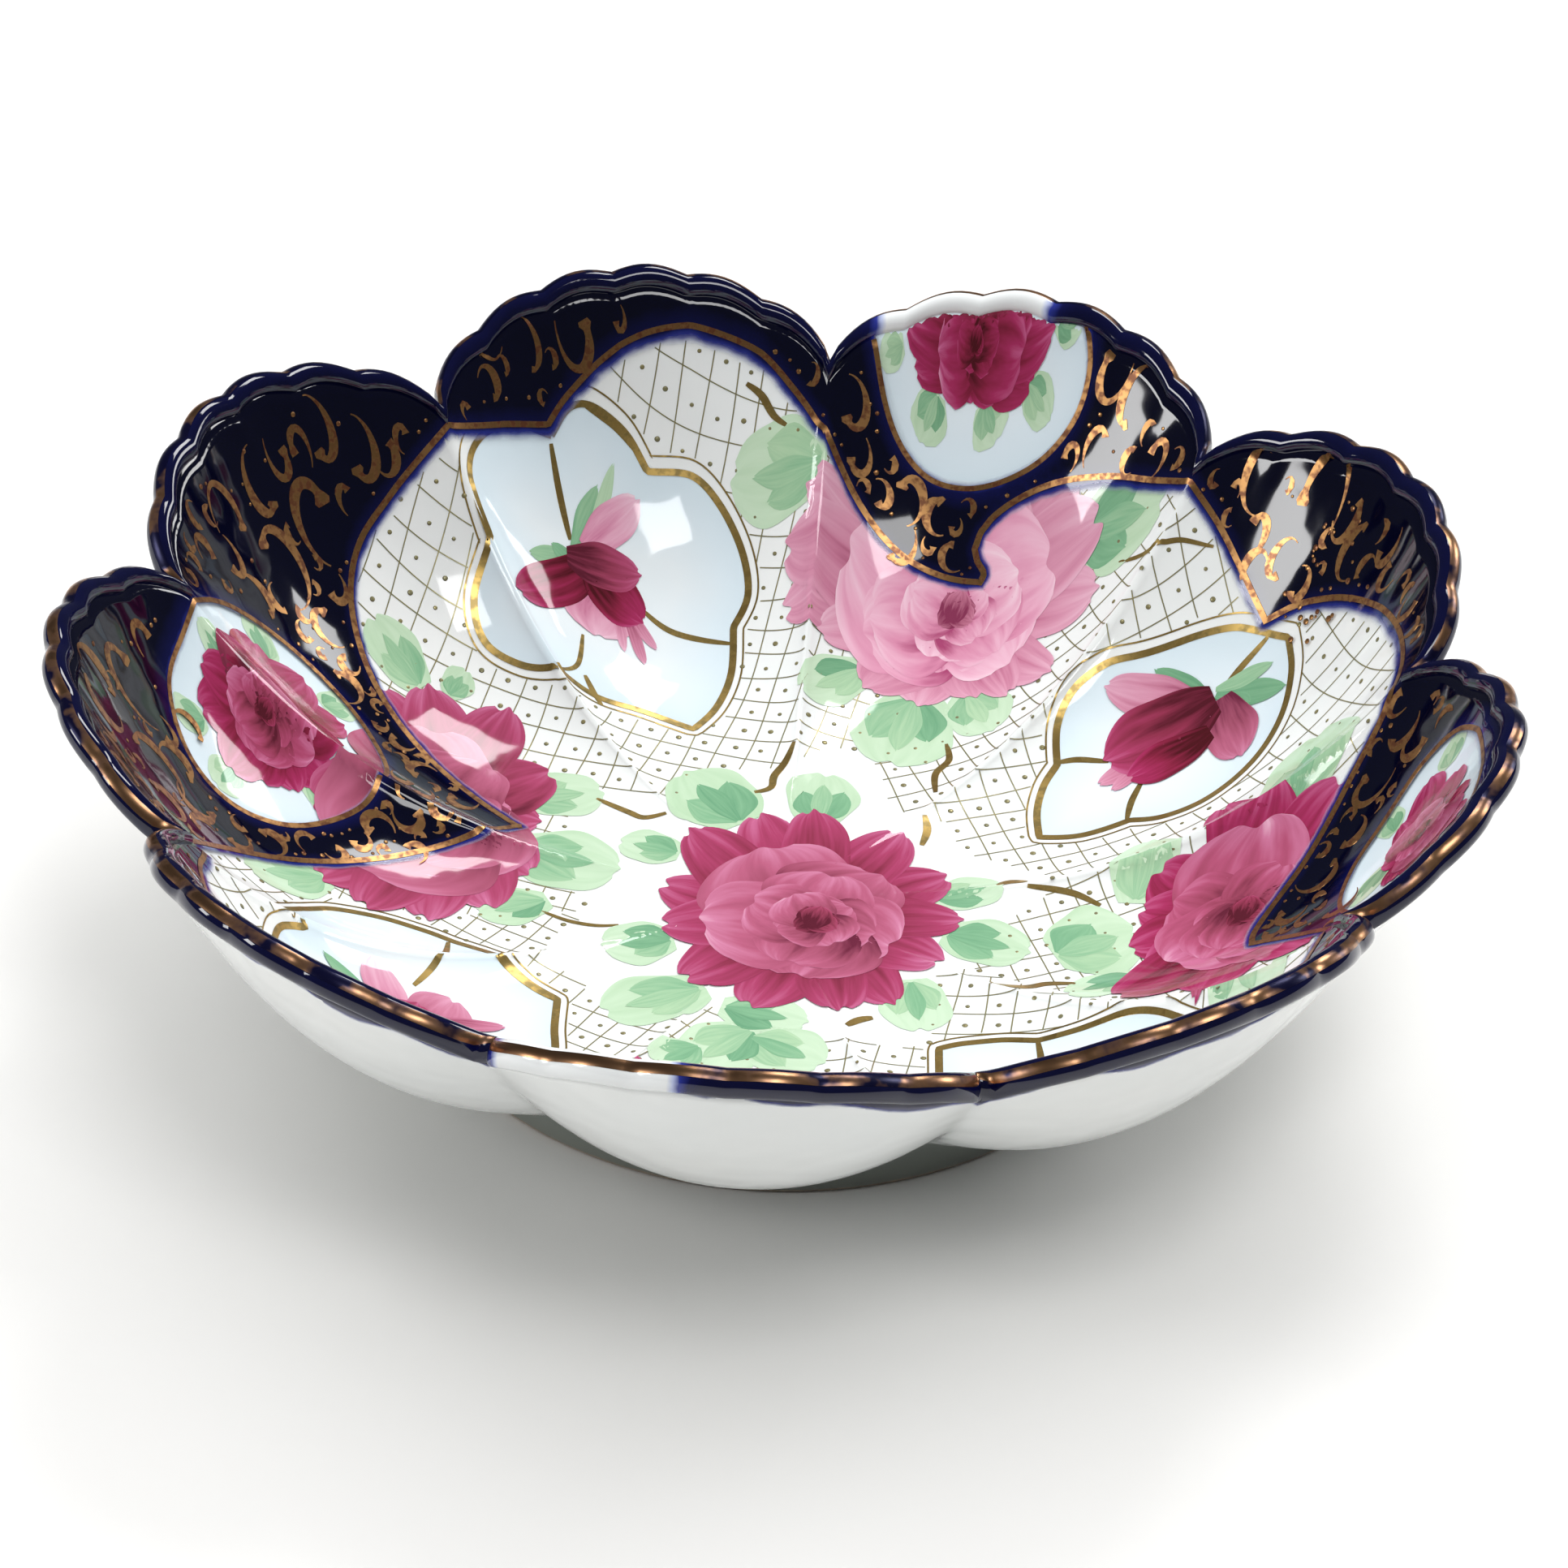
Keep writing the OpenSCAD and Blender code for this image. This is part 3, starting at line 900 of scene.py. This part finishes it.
def patch(base, tip, width, tone, hue=0.0, level=0.0, point=0.6, bend=0.0, wavy=0.05):
    # one brush mark: a grid from base to tip, widest past its middle
    base, tip = np.array(base, float), np.array(tip, float)
    length = np.linalg.norm(tip - base)
    unit = (tip - base) / length
    side = np.array([-unit[1], unit[0]])
    blunt, wander = markPlan["blunt"], markPlan["wander"]
    rows = max(6, round(length / markPlan["cell"]))
    columns = max(4, round(width / markPlan["cell"]))
    seed = random.random() * markPlan["fullTurn"]
    points, along, across = [], [], []
    for j in range(rows + 1):
        s = markPlan["stop"] * j / rows
        full = math.sin(math.pi * (blunt + (1 - blunt) * s) ** markPlan["widest"]) ** point
        for i in range(columns + 1):
            t = 2 * i / columns - 1
            edge = 1 + wavy * math.sin(markPlan["waves"] * s + seed + 2 * t)
            sway = 4 * bend * length * s * (1 - s)
            reach = s + wander * math.sin(3 * t + seed) * s * (1 - abs(t))
            place = base + unit * length * reach + side * (width / 2 * full * t * edge + sway)
            points.append((place[0] * millimetre, place[1] * millimetre, level))
            along.append(s)
            across.append(t)
    wide = columns + 1
    faces = [(j * wide + i, j * wide + i + wide, j * wide + i + wide + 1, j * wide + i + 1)
             for j in range(rows) for i in range(columns)]
    count = len(points)
    return dict(points=points, faces=faces, along=along, across=across, tone=[tone] * count,
                hue=[hue] * count)


def offsetLine(line, distance):
    # moves a closed line outwards by a distance in millimetres
    ahead = np.roll(line, -1, axis=0) - np.roll(line, 1, axis=0)
    ahead /= np.maximum(np.linalg.norm(ahead, axis=1), 1e-9)[:, None]
    area = (line[:, 0] * np.roll(line[:, 1], -1) - line[:, 1] * np.roll(line[:, 0], -1)).sum()
    out = np.stack([ahead[:, 1], -ahead[:, 0]], 1) * (1 if area > 0 else -1)
    return line + out * distance * millimetre


def closedLine(line):
    return np.vstack([line, line[:1]])


# gold lines
random.seed(7)
# stems and ribs inside the panels: points, half width
panelRibs = [
    ([(-47, 98.5), (-45, 93), (-42.5, 87)], 0.75), ([(-28, 79.5), (-22, 76), (-11, 74)], 0.7),
    ([(-42.5, 57.5), (-39.5, 62), (-39, 70)], 0.55), ([(-38, 60), (-36, 56), (-34.5, 53.5)], 0.7),
    ([(89, 54), (84, 51.5), (80, 48.3)], 0.7), ([(51, 41.5), (55, 42), (60.5, 41)], 0.7),
    ([(63.5, 25), (64.5, 30), (66.5, 35)], 0.7), ([(-57.5, -20), (-58, -29), (-62, -38.5)], 0.7),
    ([(46, -41), (46.5, -49), (45.5, -57)], 0.7), ([(-37.5, -33), (-42, -30), (-50, -23.5)], 0.8),
]
# loose squiggles between the roses: points, half width
squiggles = [
    ([(2, 47), (0.5, 42), (-1.5, 38), (-2, 34.5), (-5, 33)], 0.8),
    ([(-34, 28.5), (-28, 25), (-25, 23.5), (-21, 25)], 0.7),
    ([(30.5, 49), (31, 44), (28.5, 40), (28.5, 34)], 0.75), ([(26.5, 27), (27, 23), (26, 18.5)], 0.8),
    ([(39.5, 6), (42, 7), (45, 6.5)], 0.8), ([(45, 5), (50, 4), (54, 2.5), (58, -0.5)], 0.75),
    ([(-42, -6.5), (-37, -9), (-32, -10), (-28, -9.5)], 0.5),
    ([(13, -36.5), (15, -34.5), (17.5, -33.5)], 0.9),
    ([(38, -24.5), (44, -25), (48, -23.5), (53, -23.5)], 0.8),
    ([(62, 77), (67, 74), (73, 73.5), (79, 71)], 0.55),
    ([(-10, 112), (-7, 110.5), (-4.5, 108), (-2, 106.5)], 0.8),
    ([(-41, 105.5), (-35, 105), (-30, 103), (-28, 101.5)], 0.5),
]
# half widths of the lines along an outline, and how far outside it they run, in millimetres
linePlan = dict(panel=0.8, hair=0.2, hairOut=1.9, field=0.7, fieldOut=1.2, reserve=0.6, reserveOut=0.3)
panelStrokes = []
for line in panelLines.values():
    panelStrokes.append((closedLine(line), linePlan["panel"]))
    panelStrokes.append((closedLine(offsetLine(line, linePlan["hairOut"])), linePlan["hair"]))
for points, width in panelRibs + squiggles:
    line = smoothLine(points, False)
    taper = np.sin(np.linspace(0.25, math.pi - 0.25, len(line)))
    panelStrokes.append((line, width * (0.45 + 0.65 * taper)))

# millimetres: the net's cell, how far it is drawn, how far it stays off a panel, where it opens out to
# the bare middle with that edge's waves, the sway and tremble of its lines, its half width and its dots
latticePlan = dict(gap=5.3, reach=135, clearPanel=1.9, middle=41, middleWaves=[(5, 5, 1), (3, 11, 0)],
                   step=0.9, sway=1.3, tremble=0.3, halfWidth=0.14, dot=0.5, dotSpread=(0.8, 1.15),
                   dotPlace=(0.42, 0.58),
                   # each cartouche: first and last azimuth, and the turn of its net, in degrees
                   nets=[(72, 190, -14), (-28, 72, 18), (190, 278, -30), (278, 332, -6)])


def latticeOpen(spots):
    # where the net is painted: on white, clear of the panels and stopping before the middle
    white = depthInside(spots, fieldLine)
    for line in panelLines.values():
        white = np.minimum(white, -depthInside(spots, line) - latticePlan["clearPanel"])
    for line in reserveLines.values():
        white = np.minimum(white, -depthInside(spots, line))
    angle = np.arctan2(spots[:, 1], spots[:, 0])
    middle = latticePlan["middle"]
    for size, count, shift in latticePlan["middleWaves"]:
        middle = middle + size * np.sin(count * angle + shift)
    return (white > 0) & (np.hypot(spots[:, 0], spots[:, 1]) / millimetre > middle)


def netSway(place, offset):
    # the painter's lines bow slowly from one side of the bowl to the other
    return latticePlan["sway"] * np.sin(place / 31 + offset / 40)


def makeLattice():
    gap, reach = latticePlan["gap"], latticePlan["reach"]
    strokes, dots = [], []
    run = np.arange(-reach, reach, latticePlan["step"])
    for first, last, turn in latticePlan["nets"]:
        c, s = math.cos(math.radians(turn)), math.sin(math.radians(turn))
        lines, knots = [], []
        for k, offset in enumerate(np.arange(-reach, reach, gap)):
            sway = offset + netSway(run, offset) + latticePlan["tremble"] * np.sin(run / 6 + 2.3 * k)
            lines += [np.stack([run, sway], 1), np.stack([sway, run], 1)]
            for other in np.arange(-reach, reach, gap):
                u = other + netSway(offset, other) + gap * random.uniform(*latticePlan["dotPlace"])
                v = offset + netSway(other, offset) + gap * random.uniform(*latticePlan["dotPlace"])
                knots.append((u, v))
        spin = np.array([[c, s], [-s, c]])
        places = np.vstack(lines + [np.array(knots)]) @ spin * millimetre
        azimuth = (np.degrees(np.arctan2(places[:, 1], places[:, 0])) - first) % 360
        good = latticeOpen(places) & (azimuth < last - first)
        count = len(knots)
        for x, y in places[-count:][good[-count:]] / millimetre:
            dots.append((x, y, latticePlan["dot"] * random.uniform(*latticePlan["dotSpread"])))
        ends = np.cumsum([len(line) for line in lines])
        for line, ok in zip(np.split(places[:-count], ends[:-1]), np.split(good[:-count], ends[:-1])):
            breaks = np.flatnonzero(np.diff(np.concatenate([[0], ok.astype(int), [0]])))
            strokes += [(line[a:b], latticePlan["halfWidth"])
                        for a, b in zip(breaks[::2], breaks[1::2]) if b - a > 3]
    return strokes, dots


latticeStrokes, latticeDots = makeLattice()

# big scrolls seen on the lobes: centre, radius, start angle, sweep, half width
bigScrolls = [
    (-95, 55, 6.5, 200, -250, 0.75), (-89, 67, 6, 60, 240, 1.0), (-103, 52, 5, 20, 230, 0.6),
    (-82, 42, 4.2, 150, -220, 0.7), (-97, 44, 4, -20, 200, 0.7), (-86, 52, 4, 100, 230, 0.7),
    (-73, 8, 3.6, 250, -250, 0.8), (-66, 5, 3, 160, -220, 0.6), (-84, -1, 3, 60, 200, 0.5),
    (-115, 0, 6, 100, 230, 0.7), (-110, -12, 6, 200, -230, 0.7), (-105, 4, 3.5, 0, 220, 0.5),
    (22, 99, 4, 150, -240, 0.8), (28, 97, 3.4, 60, 230, 0.8), (20, 92, 4.5, 230, 170, 0.6),
    (31, 91, 3.2, 80, 220, 0.6), (60, 104, 4, 100, 240, 0.7), (64, 98, 4.4, 240, -230, 0.7),
    (58, 97, 3, 10, 200, 0.6), (88, 76, 5, 30, 230, 0.7), (97, 67, 6.5, 160, -230, 0.8),
    (86, 65, 3, 200, -220, 0.7), (104, 55, 4, 30, 220, 0.7), (90, -16, 3.2, 120, 230, 0.7),
    (96, -10, 4.5, 30, -220, 0.6), (104, 1, 4.2, 100, 240, 0.6), (97, -23, 4, 200, 180, 0.6),
    (-61, 104, 4, 120, 240, 0.6), (-43, 112, 4.5, 60, -230, 0.8), (-52, 106, 3.5, 300, 200, 0.5),
]
# millimetres, degrees and shares of a scroll's own radius
scrollPlan = dict(
    # each pass fills the gaps of the one before: smallest and largest radius, tries
    passes=[(2.4, 4.4, 7000), (1.2, 2.2, 14000), (0.4, 0.7, 6000)],
    reach=(60, 121), rimClear=1.0, clear=1.6, overlap=0.66, apart=0.6, smallestScroll=1.0, dot=0.8,
    sweep=(190, 270), width=0.17, widthMore=(0.34, 0.5), bigWider=1.35, tail=0.14, bulb=1.35, back=0.95,
    # the loose dots on the right: how many, where, and their half widths
    looseDots=34, looseX=(92, 105), looseY=(47, 63), looseSize=(0.35, 0.7))


def scrollLine(x, y, radius, start, sweep, width):
    # a comma of gold: a round bulb, a full back and a tail that opens out and tapers to nothing
    share = np.linspace(0, 1, 36)
    turn = np.radians(start + sweep * share)
    reach = radius * (0.4 + 0.6 * share**1.2)
    line = np.stack([x + reach * np.cos(turn), y + reach * np.sin(turn)], 1) * millimetre
    bulb = np.exp(-(((share - 0.04) / 0.07) ** 2))
    back = np.sin(math.pi * share**0.85) ** 1.6
    return line, width * (scrollPlan["tail"] + scrollPlan["bulb"] * bulb + scrollPlan["back"] * back)


def makeScrolls():
    plan = scrollPlan
    strokes = [scrollLine(*scroll[:5], scroll[5] * plan["bigWider"]) for scroll in bigScrolls]
    taken = np.array([scroll[:3] for scroll in bigScrolls])
    dots = []
    for smallest, largest, tries in plan["passes"]:
        drawn = [(random.uniform(-math.pi, math.pi), random.uniform(*plan["reach"])) for k in range(tries)]
        spots = np.array([(r * math.cos(a), r * math.sin(a)) for a, r in drawn])
        depths = groundDepth(spots * millimetre).tolist()
        for (a, r), (x, y), depth in zip(drawn, spots.tolist(), depths):
            radius = random.uniform(smallest, largest)
            toRim = (wall["rimR"] - wall["notchIn"] * (1 - lobeSwing(a))) / millimetre - r
            if toRim < radius * 0.6 + plan["rimClear"] or depth < radius * 0.7 + plan["clear"]:
                continue
            away = np.hypot(taken[:, 0] - x, taken[:, 1] - y)
            if (away < plan["overlap"] * (radius + taken[:, 2]) + plan["apart"]).any():
                continue
            taken = np.vstack([taken, (x, y, radius)])
            if radius < plan["smallestScroll"]:
                dots.append((x, y, radius * plan["dot"]))
                continue
            sweep = random.choice((-1, 1)) * random.uniform(*plan["sweep"])
            width = radius * plan["width"] + random.uniform(*plan["widthMore"])
            strokes.append(scrollLine(x, y, radius, random.uniform(0, 360), sweep, width))
    for k in range(plan["looseDots"]):
        dots.append(tuple(random.uniform(*plan[key]) for key in ("looseX", "looseY", "looseSize")))
    return strokes, dots


scrollStrokes, scrollDots = makeScrolls()
outlineStrokes = [(closedLine(offsetLine(fieldLine, linePlan["fieldOut"])), linePlan["field"])]
outlineStrokes += [(closedLine(offsetLine(line, linePlan["reserveOut"])), linePlan["reserve"])
                   for line in reserveLines.values()]
print("lines planned", len(latticeStrokes), len(latticeDots), len(scrollStrokes), len(scrollDots))

# roses, buds and leaves
# each rose: heart, outer tips with petal widths, hue (0 crimson, 1 pink), and the scale of its inner rings
roses = dict(
    centre=dict(heart=(7, -6), hue=0.22, rings=(0.7, 0.48, 0.28), tips=[
        (-16, 20, 13), (-4, 26, 11), (6, 27.5, 11), (22, 21.5, 12), (30.5, 9, 12), (33, -4, 10),
        (29.5, -17, 11), (21, -29, 10), (12, -32, 11), (-4, -31.5, 12), (-16, -24.5, 12), (-20.5, -9, 12),
        (-21, 3, 12)]),
    pink=dict(heart=(32, 81), hue=1.0, rings=(0.7, 0.48, 0.28), tips=[
        (-1, 90, 14), (3, 98, 10), (-1, 79, 12), (6, 74, 9), (15, 64.5, 12), (25, 60.5, 12), (36, 61.5, 11),
        (42, 60, 8), (49.5, 62, 9), (58, 75, 12), (59, 87, 13), (54, 94, 12), (44, 97, 12), (18, 98, 14)]),
    left=dict(heart=(-61, 21), hue=0.25, rings=(0.72, 0.5), tips=[
        (-76, 46, 12), (-67, 50.5, 12), (-52, 49.5, 12), (-43, 35, 13), (-44, 20, 10), (-45, 4, 12),
        (-51, -7, 12), (-62, -13, 12), (-73, -13.5, 12), (-81, -9, 12), (-84, 8, 14)]),
    right=dict(heart=(83, -10), hue=0.15, rings=(0.72, 0.5), tips=[
        (80.5, 19, 9), (88, 12, 12), (100, 6, 13), (68, 5, 12), (65, -3, 10), (63, -13, 11), (66, -20, 10),
        (60, -30.5, 11), (74, -34, 12), (92, -30, 12), (72, -48, 5)]),
    back=dict(heart=(34, 114.5), hue=0.0, rings=(0.66, 0.4), tips=[
        (20.5, 117, 5.5), (22.5, 113, 5.5), (28, 110.5, 6), (34, 109, 6), (38.5, 108.8, 5.5),
        (45, 108.6, 6), (48.5, 112.5, 6), (45, 116.5, 6), (39, 118.5, 6), (29, 119, 7)]),
    leftReserve=dict(heart=(-93.5, 18), hue=0.1, rings=(0.7, 0.46), tips=[
        (-88.5, 36, 8.5), (-97, 33.5, 8), (-81, 31, 8), (-79.5, 22, 8), (-82, 13, 8), (-87, 8.5, 7),
        (-93, 6, 7), (-98.5, 4, 7), (-104, 10, 7), (-104.5, 17, 7), (-99.5, 26, 8)]),
    rightReserve=dict(heart=(110, -23), hue=0.15, rings=(0.66, 0.4), tips=[
        (112.5, -10, 5), (108, -14, 4), (116.5, -16, 5), (117, -25, 5), (114.5, -33, 5), (108, -36, 5),
        (104.5, -30, 5), (104.5, -21, 5)]),
    frontReserve=dict(heart=(-26, -110), hue=0.1, rings=(0.66, 0.4), tips=[
        (-13, -109, 6), (-18, -104, 6), (-26, -102, 6), (-34, -104, 6), (-40, -110, 6), (-36, -116, 6),
        (-25, -119, 7), (-15, -115, 6)]),
    front=dict(heart=(-14, -73), hue=0.1, rings=(0.7, 0.48), tips=[
        (-30, -66, 12), (-24, -54, 12), (-12, -52, 11), (0, -56, 12), (6, -66, 12), (8, -80, 12),
        (-2, -92, 12), (-26, -90, 12), (-32, -78, 12)]),
)
# single marks of the buds: base, tip, width, tone, hue
buds = [
    ((-36, 81), (-36.5, 71), 14, 0.75, 0.75), ((-33, 78), (-31, 69.5), 2.0, 0.8, 0.7),
    ((-31, 78), (-27, 67.5), 2.4, 0.7, 0.5), ((-31, 79), (-25, 71.5), 2.2, 0.7, 0.6),
    ((-40, 87), (-30, 97.5), 6.5, 0.9, 0.9), ((-37, 86), (-51.5, 70), 8, 0.35, 0.0),
    ((-39, 84), (-28, 77), 10, 0.3, 0.0), ((-43, 84), (-29, 86), 8, 0.4, 0.1),
    ((76, 50), (60, 55.5), 7.5, 0.85, 0.6), ((68, 41), (58.5, 35.5), 4, 0.7, 0.5),
    ((68, 40), (61, 33.5), 3, 0.7, 0.5), ((81, 48), (84, 33), 9, 0.5, 0.25),
    ((80, 48), (60, 41), 16, 0.35, 0.05), ((79, 42), (64, 36), 9, 0.3, 0.0),
    ((-64, -50), (-69, -37.5), 7.5, 0.8, 0.75), ((-60, -52), (-55, -38.5), 12, 0.5, 0.45),
    ((-58, -46), (-46, -43), 3.5, 0.6, 0.4), ((-62, -54), (-61, -43), 10, 0.35, 0.1),
    ((55, -76), (50, -62), 12, 0.4, 0.1), ((56, -72), (60, -58), 8, 0.7, 0.6),
]
# leaves: base, tip, width
leaves = [
    (-7, 23, -18, 38, 17), (7, 24, 8, 39.5, 13), (-18, 13, -29, 16, 9.5), (-48, 27, -33, 30.5, 12.5),
    (-48, 11, -29, 7, 17), (-18, -13, -30.5, -16, 12), (-41, -3, -53, -9, 10), (-12, -27, -29.5, -35, 14),
    (-9, -32, 6, -35.5, 11), (24, -22, 26, -37, 12), (28, 2, 40.5, 6, 9), (30, -8, 45, -13, 13),
    (49.5, -14, 64, -8, 20), (65, -22, 51, -27.5, 8), (64, -1, 68, 15.5, 12), (91, 6, 97, 24.5, 15),
    (55, 87, 70, 81, 15), (6, 100, -12, 101.5, 13), (15, 69, 3, 60, 10), (25, 63, 20, 43, 19),
    (34, 63, 39, 51, 12), (-68, 50, -78, 59, 10), (-80, -8, -93, -17, 12), (-3, -38, -14, -50, 14),
    (-4, -40, 9, -48, 13), (-12, -44, -20, -52, 9), (78, -34, 81, -62, 12), (88, -30, 88, -52, 7),
    (-63, 50, -60, 56, 6), (20, 115, 15.5, 113.5, 4), (27, 110.5, 24, 105.5, 7), (36, 109, 38.5, 104.2, 7),
    (44, 109, 48.5, 104, 5), (49, 113, 54, 111, 4), (-94, 33, -98.5, 39.5, 6), (-85, 33, -79.5, 38.5, 6),
    (-100, 20, -105.5, 23, 4), (-103, 9, -108, 5, 5), (-97, 6, -100, -1.5, 6), (-86, 11, -78.5, 9, 6),
    (115, -12, 116.5, -6.5, 4), (107, -14, 106, -7.5, 4), (105, -21, 99.5, -27, 5), (-34, -62, -42, -56, 9),
    (12, -66, 20, -58, 9), (-34, -84, -44, -88, 9), (10, -84, 18, -92, 9),
]
# leaves of the buds: base, tip, width, tone
budLeaves = [
    ((-38, 84), (-44.5, 80), 3, 0.9), ((-40, 85), (-50, 80), 3.5, 0.5), ((-42, 86), (-38, 97), 3.5, 0.6),
    ((-39, 88), (-35, 101), 2.4, 0.2), ((-37, 90), (-40, 84), 3.5, 0.95), ((-41, 83), (-46, 84.5), 3, 0.7),
    ((79, 49), (69, 57), 4, 0.85), ((80, 49), (92, 43), 4.5, 0.8), ((80, 50), (90, 49), 3, 0.5),
    ((78, 50), (74, 46), 3, 0.9), ((82, 48), (86, 44), 3, 0.75), ((-64, -50), (-77, -44), 4, 0.7),
]


# metres that each mark stands over the last, then shares, tones and bends of the painter's marks
rosePlan = dict(rise=0.0000055,
                outer=dict(start=0.1, wider=1.2, tone=(0.3, 0.65), hue=(0.85, -0.12), bend=(-0.05, 0.05)),
                inner=dict(start=-0.12, reach=(0.88, 1.06), wider=1.3, ringWider=0.1, tone=(0.2, 0.8),
                           bend=(0.05, 0.16)),
                heart=dict(marks=5, turn=1.9, reach=0.15, width=0.2, dark=3))
leafPlan = dict(rise=0.000011, wider=1.05, washTone=(0.0, 0.14), strokeTone=(0.35, 0.85),
                # the wet strokes in each leaf: sideways, reach and width
                strokes=[(-0.3, 0.66, 0.46), (0.27, 0.6, 0.42), (0.0, 0.78, 0.3)])


def rosePetals():
    # each rose is painted from its outer petals inwards, every mark over the last
    marks = []
    rise = rosePlan["rise"]
    outer, inner, middle = rosePlan["outer"], rosePlan["inner"], rosePlan["heart"]
    for rose in roses.values():
        level = 0.0
        heart, tips, hue = np.array(rose["heart"], float), rose["tips"], rose["hue"]
        for x, y, width in sorted(tips, key=lambda tip: (tip[0] * 7 + tip[1] * 3) % 5):
            level += rise
            base = heart + (np.array((x, y)) - heart) * outer["start"]
            marks.append(patch(base, (x, y), width * outer["wider"], random.uniform(*outer["tone"]),
                               hue * outer["hue"][0] + outer["hue"][1], level, point=0.42,
                               bend=random.uniform(*outer["bend"]), wavy=0.06))
        around = len(tips)
        for ring, scale in enumerate(rose["rings"]):
            count = max(4, around // 2 - 1 - ring)
            for k in range(count):
                place = (k + 0.45 * ring + 0.3) * around / count
                first, second = (np.array(tips[(int(place) + n) % around]) for n in (0, 1))
                mid = first + (second - first) * (place - int(place))
                reach = (mid[:2] - heart) * scale * random.uniform(*inner["reach"])
                level += rise
                wide = np.linalg.norm(reach) * (inner["wider"] + inner["ringWider"] * ring)
                marks.append(patch(heart + reach * inner["start"], heart + reach, wide,
                                   random.uniform(*inner["tone"]), hue, level, point=0.36,
                                   bend=random.uniform(*inner["bend"]), wavy=0.04))
        size = np.mean([np.linalg.norm(np.array(tip[:2]) - heart) for tip in tips])
        for k in range(middle["marks"]):
            level += rise
            turn = k * middle["turn"]
            reach = size * middle["reach"] * np.array((math.cos(turn), math.sin(turn)))
            marks.append(patch(heart - reach * 0.5, heart + reach, size * middle["width"],
                               -0.6 if k < middle["dark"] else 0.0, hue * 0.5, level, point=0.5))
    for k, (base, tip, width, tone, hue) in enumerate(buds):
        marks.append(patch(base, tip, width, tone, hue, rise * (k + 1), point=0.5))
    return marks


def leafMarks():
    marks = []
    rise = leafPlan["rise"]
    for x, y, u, v, width in leaves:
        base, tip = np.array((x, y), float), np.array((u, v), float)
        marks.append(patch(base, tip, width * leafPlan["wider"], random.uniform(*leafPlan["washTone"]),
                           point=0.42, wavy=0.06))
        axis = tip - base
        side = np.array((-axis[1], axis[0])) / np.linalg.norm(axis)
        for k, (turn, reach, wide) in enumerate(leafPlan["strokes"]):
            end = base + axis * reach + side * width * turn
            marks.append(patch(base + axis * 0.06, end, width * wide,
                               random.uniform(*leafPlan["strokeTone"]), 0, rise * (k + 1),
                               point=0.8, wavy=0.08, bend=turn * 0.2))
    for k, (base, tip, width, tone) in enumerate(budLeaves):
        marks.append(patch(base, tip, width, tone, 0, rise * (k + 1), point=0.7))
    return marks


for obj, material in ((footRing, footPorcelainAndShade), (cobaltGround, cobalt), (cobaltLap, cobalt),
                      (blueWash, paleBlue)):
    obj.data.materials.append(material)


def azimuths(obj):
    places = vertexPlaces(obj.data)
    return np.degrees(np.arctan2(places[:, 1], places[:, 0]))


# the lip's cobalt ebbs away where the lip is white: millimetres to the degree, most, and at the start
ebbPlan = dict(slope=1.1, deepest=2.2, start=0.3)
# wear of the gilding on the axis, how it grows towards the back to each metre, and where the lip is white
wearPlan = dict(middle=0.62, back=3.4, white=2.0, whiteSlope=0.5)
bare = np.full(len(rolledLip.data.vertices), -50.0)
for low, high in bareLip:
    inBare = np.minimum(azimuths(rolledLip) - low, high - azimuths(rolledLip))
    bare = np.maximum(bare, inBare * ebbPlan["slope"])
setAttribute(rolledLip.data, "depth", np.minimum(ebbPlan["deepest"], ebbPlan["start"] - bare))
rubbed = wearPlan["middle"] + wearPlan["back"] * vertexPlaces(giltEdge.data)[:, 1]
for low, high in bareLip:
    inBare = np.minimum(azimuths(giltEdge) - low, high - azimuths(giltEdge)) * wearPlan["whiteSlope"]
    rubbed -= wearPlan["white"] * np.clip(inBare, 0, 1)
setAttribute(giltEdge.data, "rubbed", rubbed)

keep(bowlShell, "porcelain", "bowl_shell")
keep(footRing, "foot_porcelain", "foot_ring")
keep(rolledLip, "cobalt_glaze", "rolled_lip")
keep(giltEdge, "gilding", "gilt_edge")
keep(cobaltGround, "cobalt_glaze", "cobalt_border")
keep(cobaltLap, "cobalt_glaze")
keep(blueWash, "pale_blue_enamel")

pieces = [
    (layStrokes("goldNet", latticeStrokes, netGold, lifts["lattice"], height=0.12, gap=0.0009), "gilding"),
    (layDots("goldNetDots", latticeDots, netGold, lifts["lattice"]), "gilding"),
    (layStrokes("panelLines", panelStrokes, panelGold, lifts["panelLine"]), "gilding"),
    (layEnamel("leaves", leafMarks(), leafPaint, lifts["leaf"]), "leaf_enamel"),
    (layEnamel("roses", rosePetals(), rosePaint, lifts["petal"]), "rose_enamel"),
    (layStrokes("goldScrolls", scrollStrokes, borderGold, lifts["scroll"], gap=0.0005), "gilding"),
    (layDots("goldScrollDots", scrollDots, borderGold, lifts["scroll"]), "gilding"),
    (layStrokes("borderLines", outlineStrokes, borderGold, lifts["outline"]), "gilding"),
]
for obj, slotName in pieces:
    keep(obj, slotName)
    print(obj.name, len(obj.data.polygons))
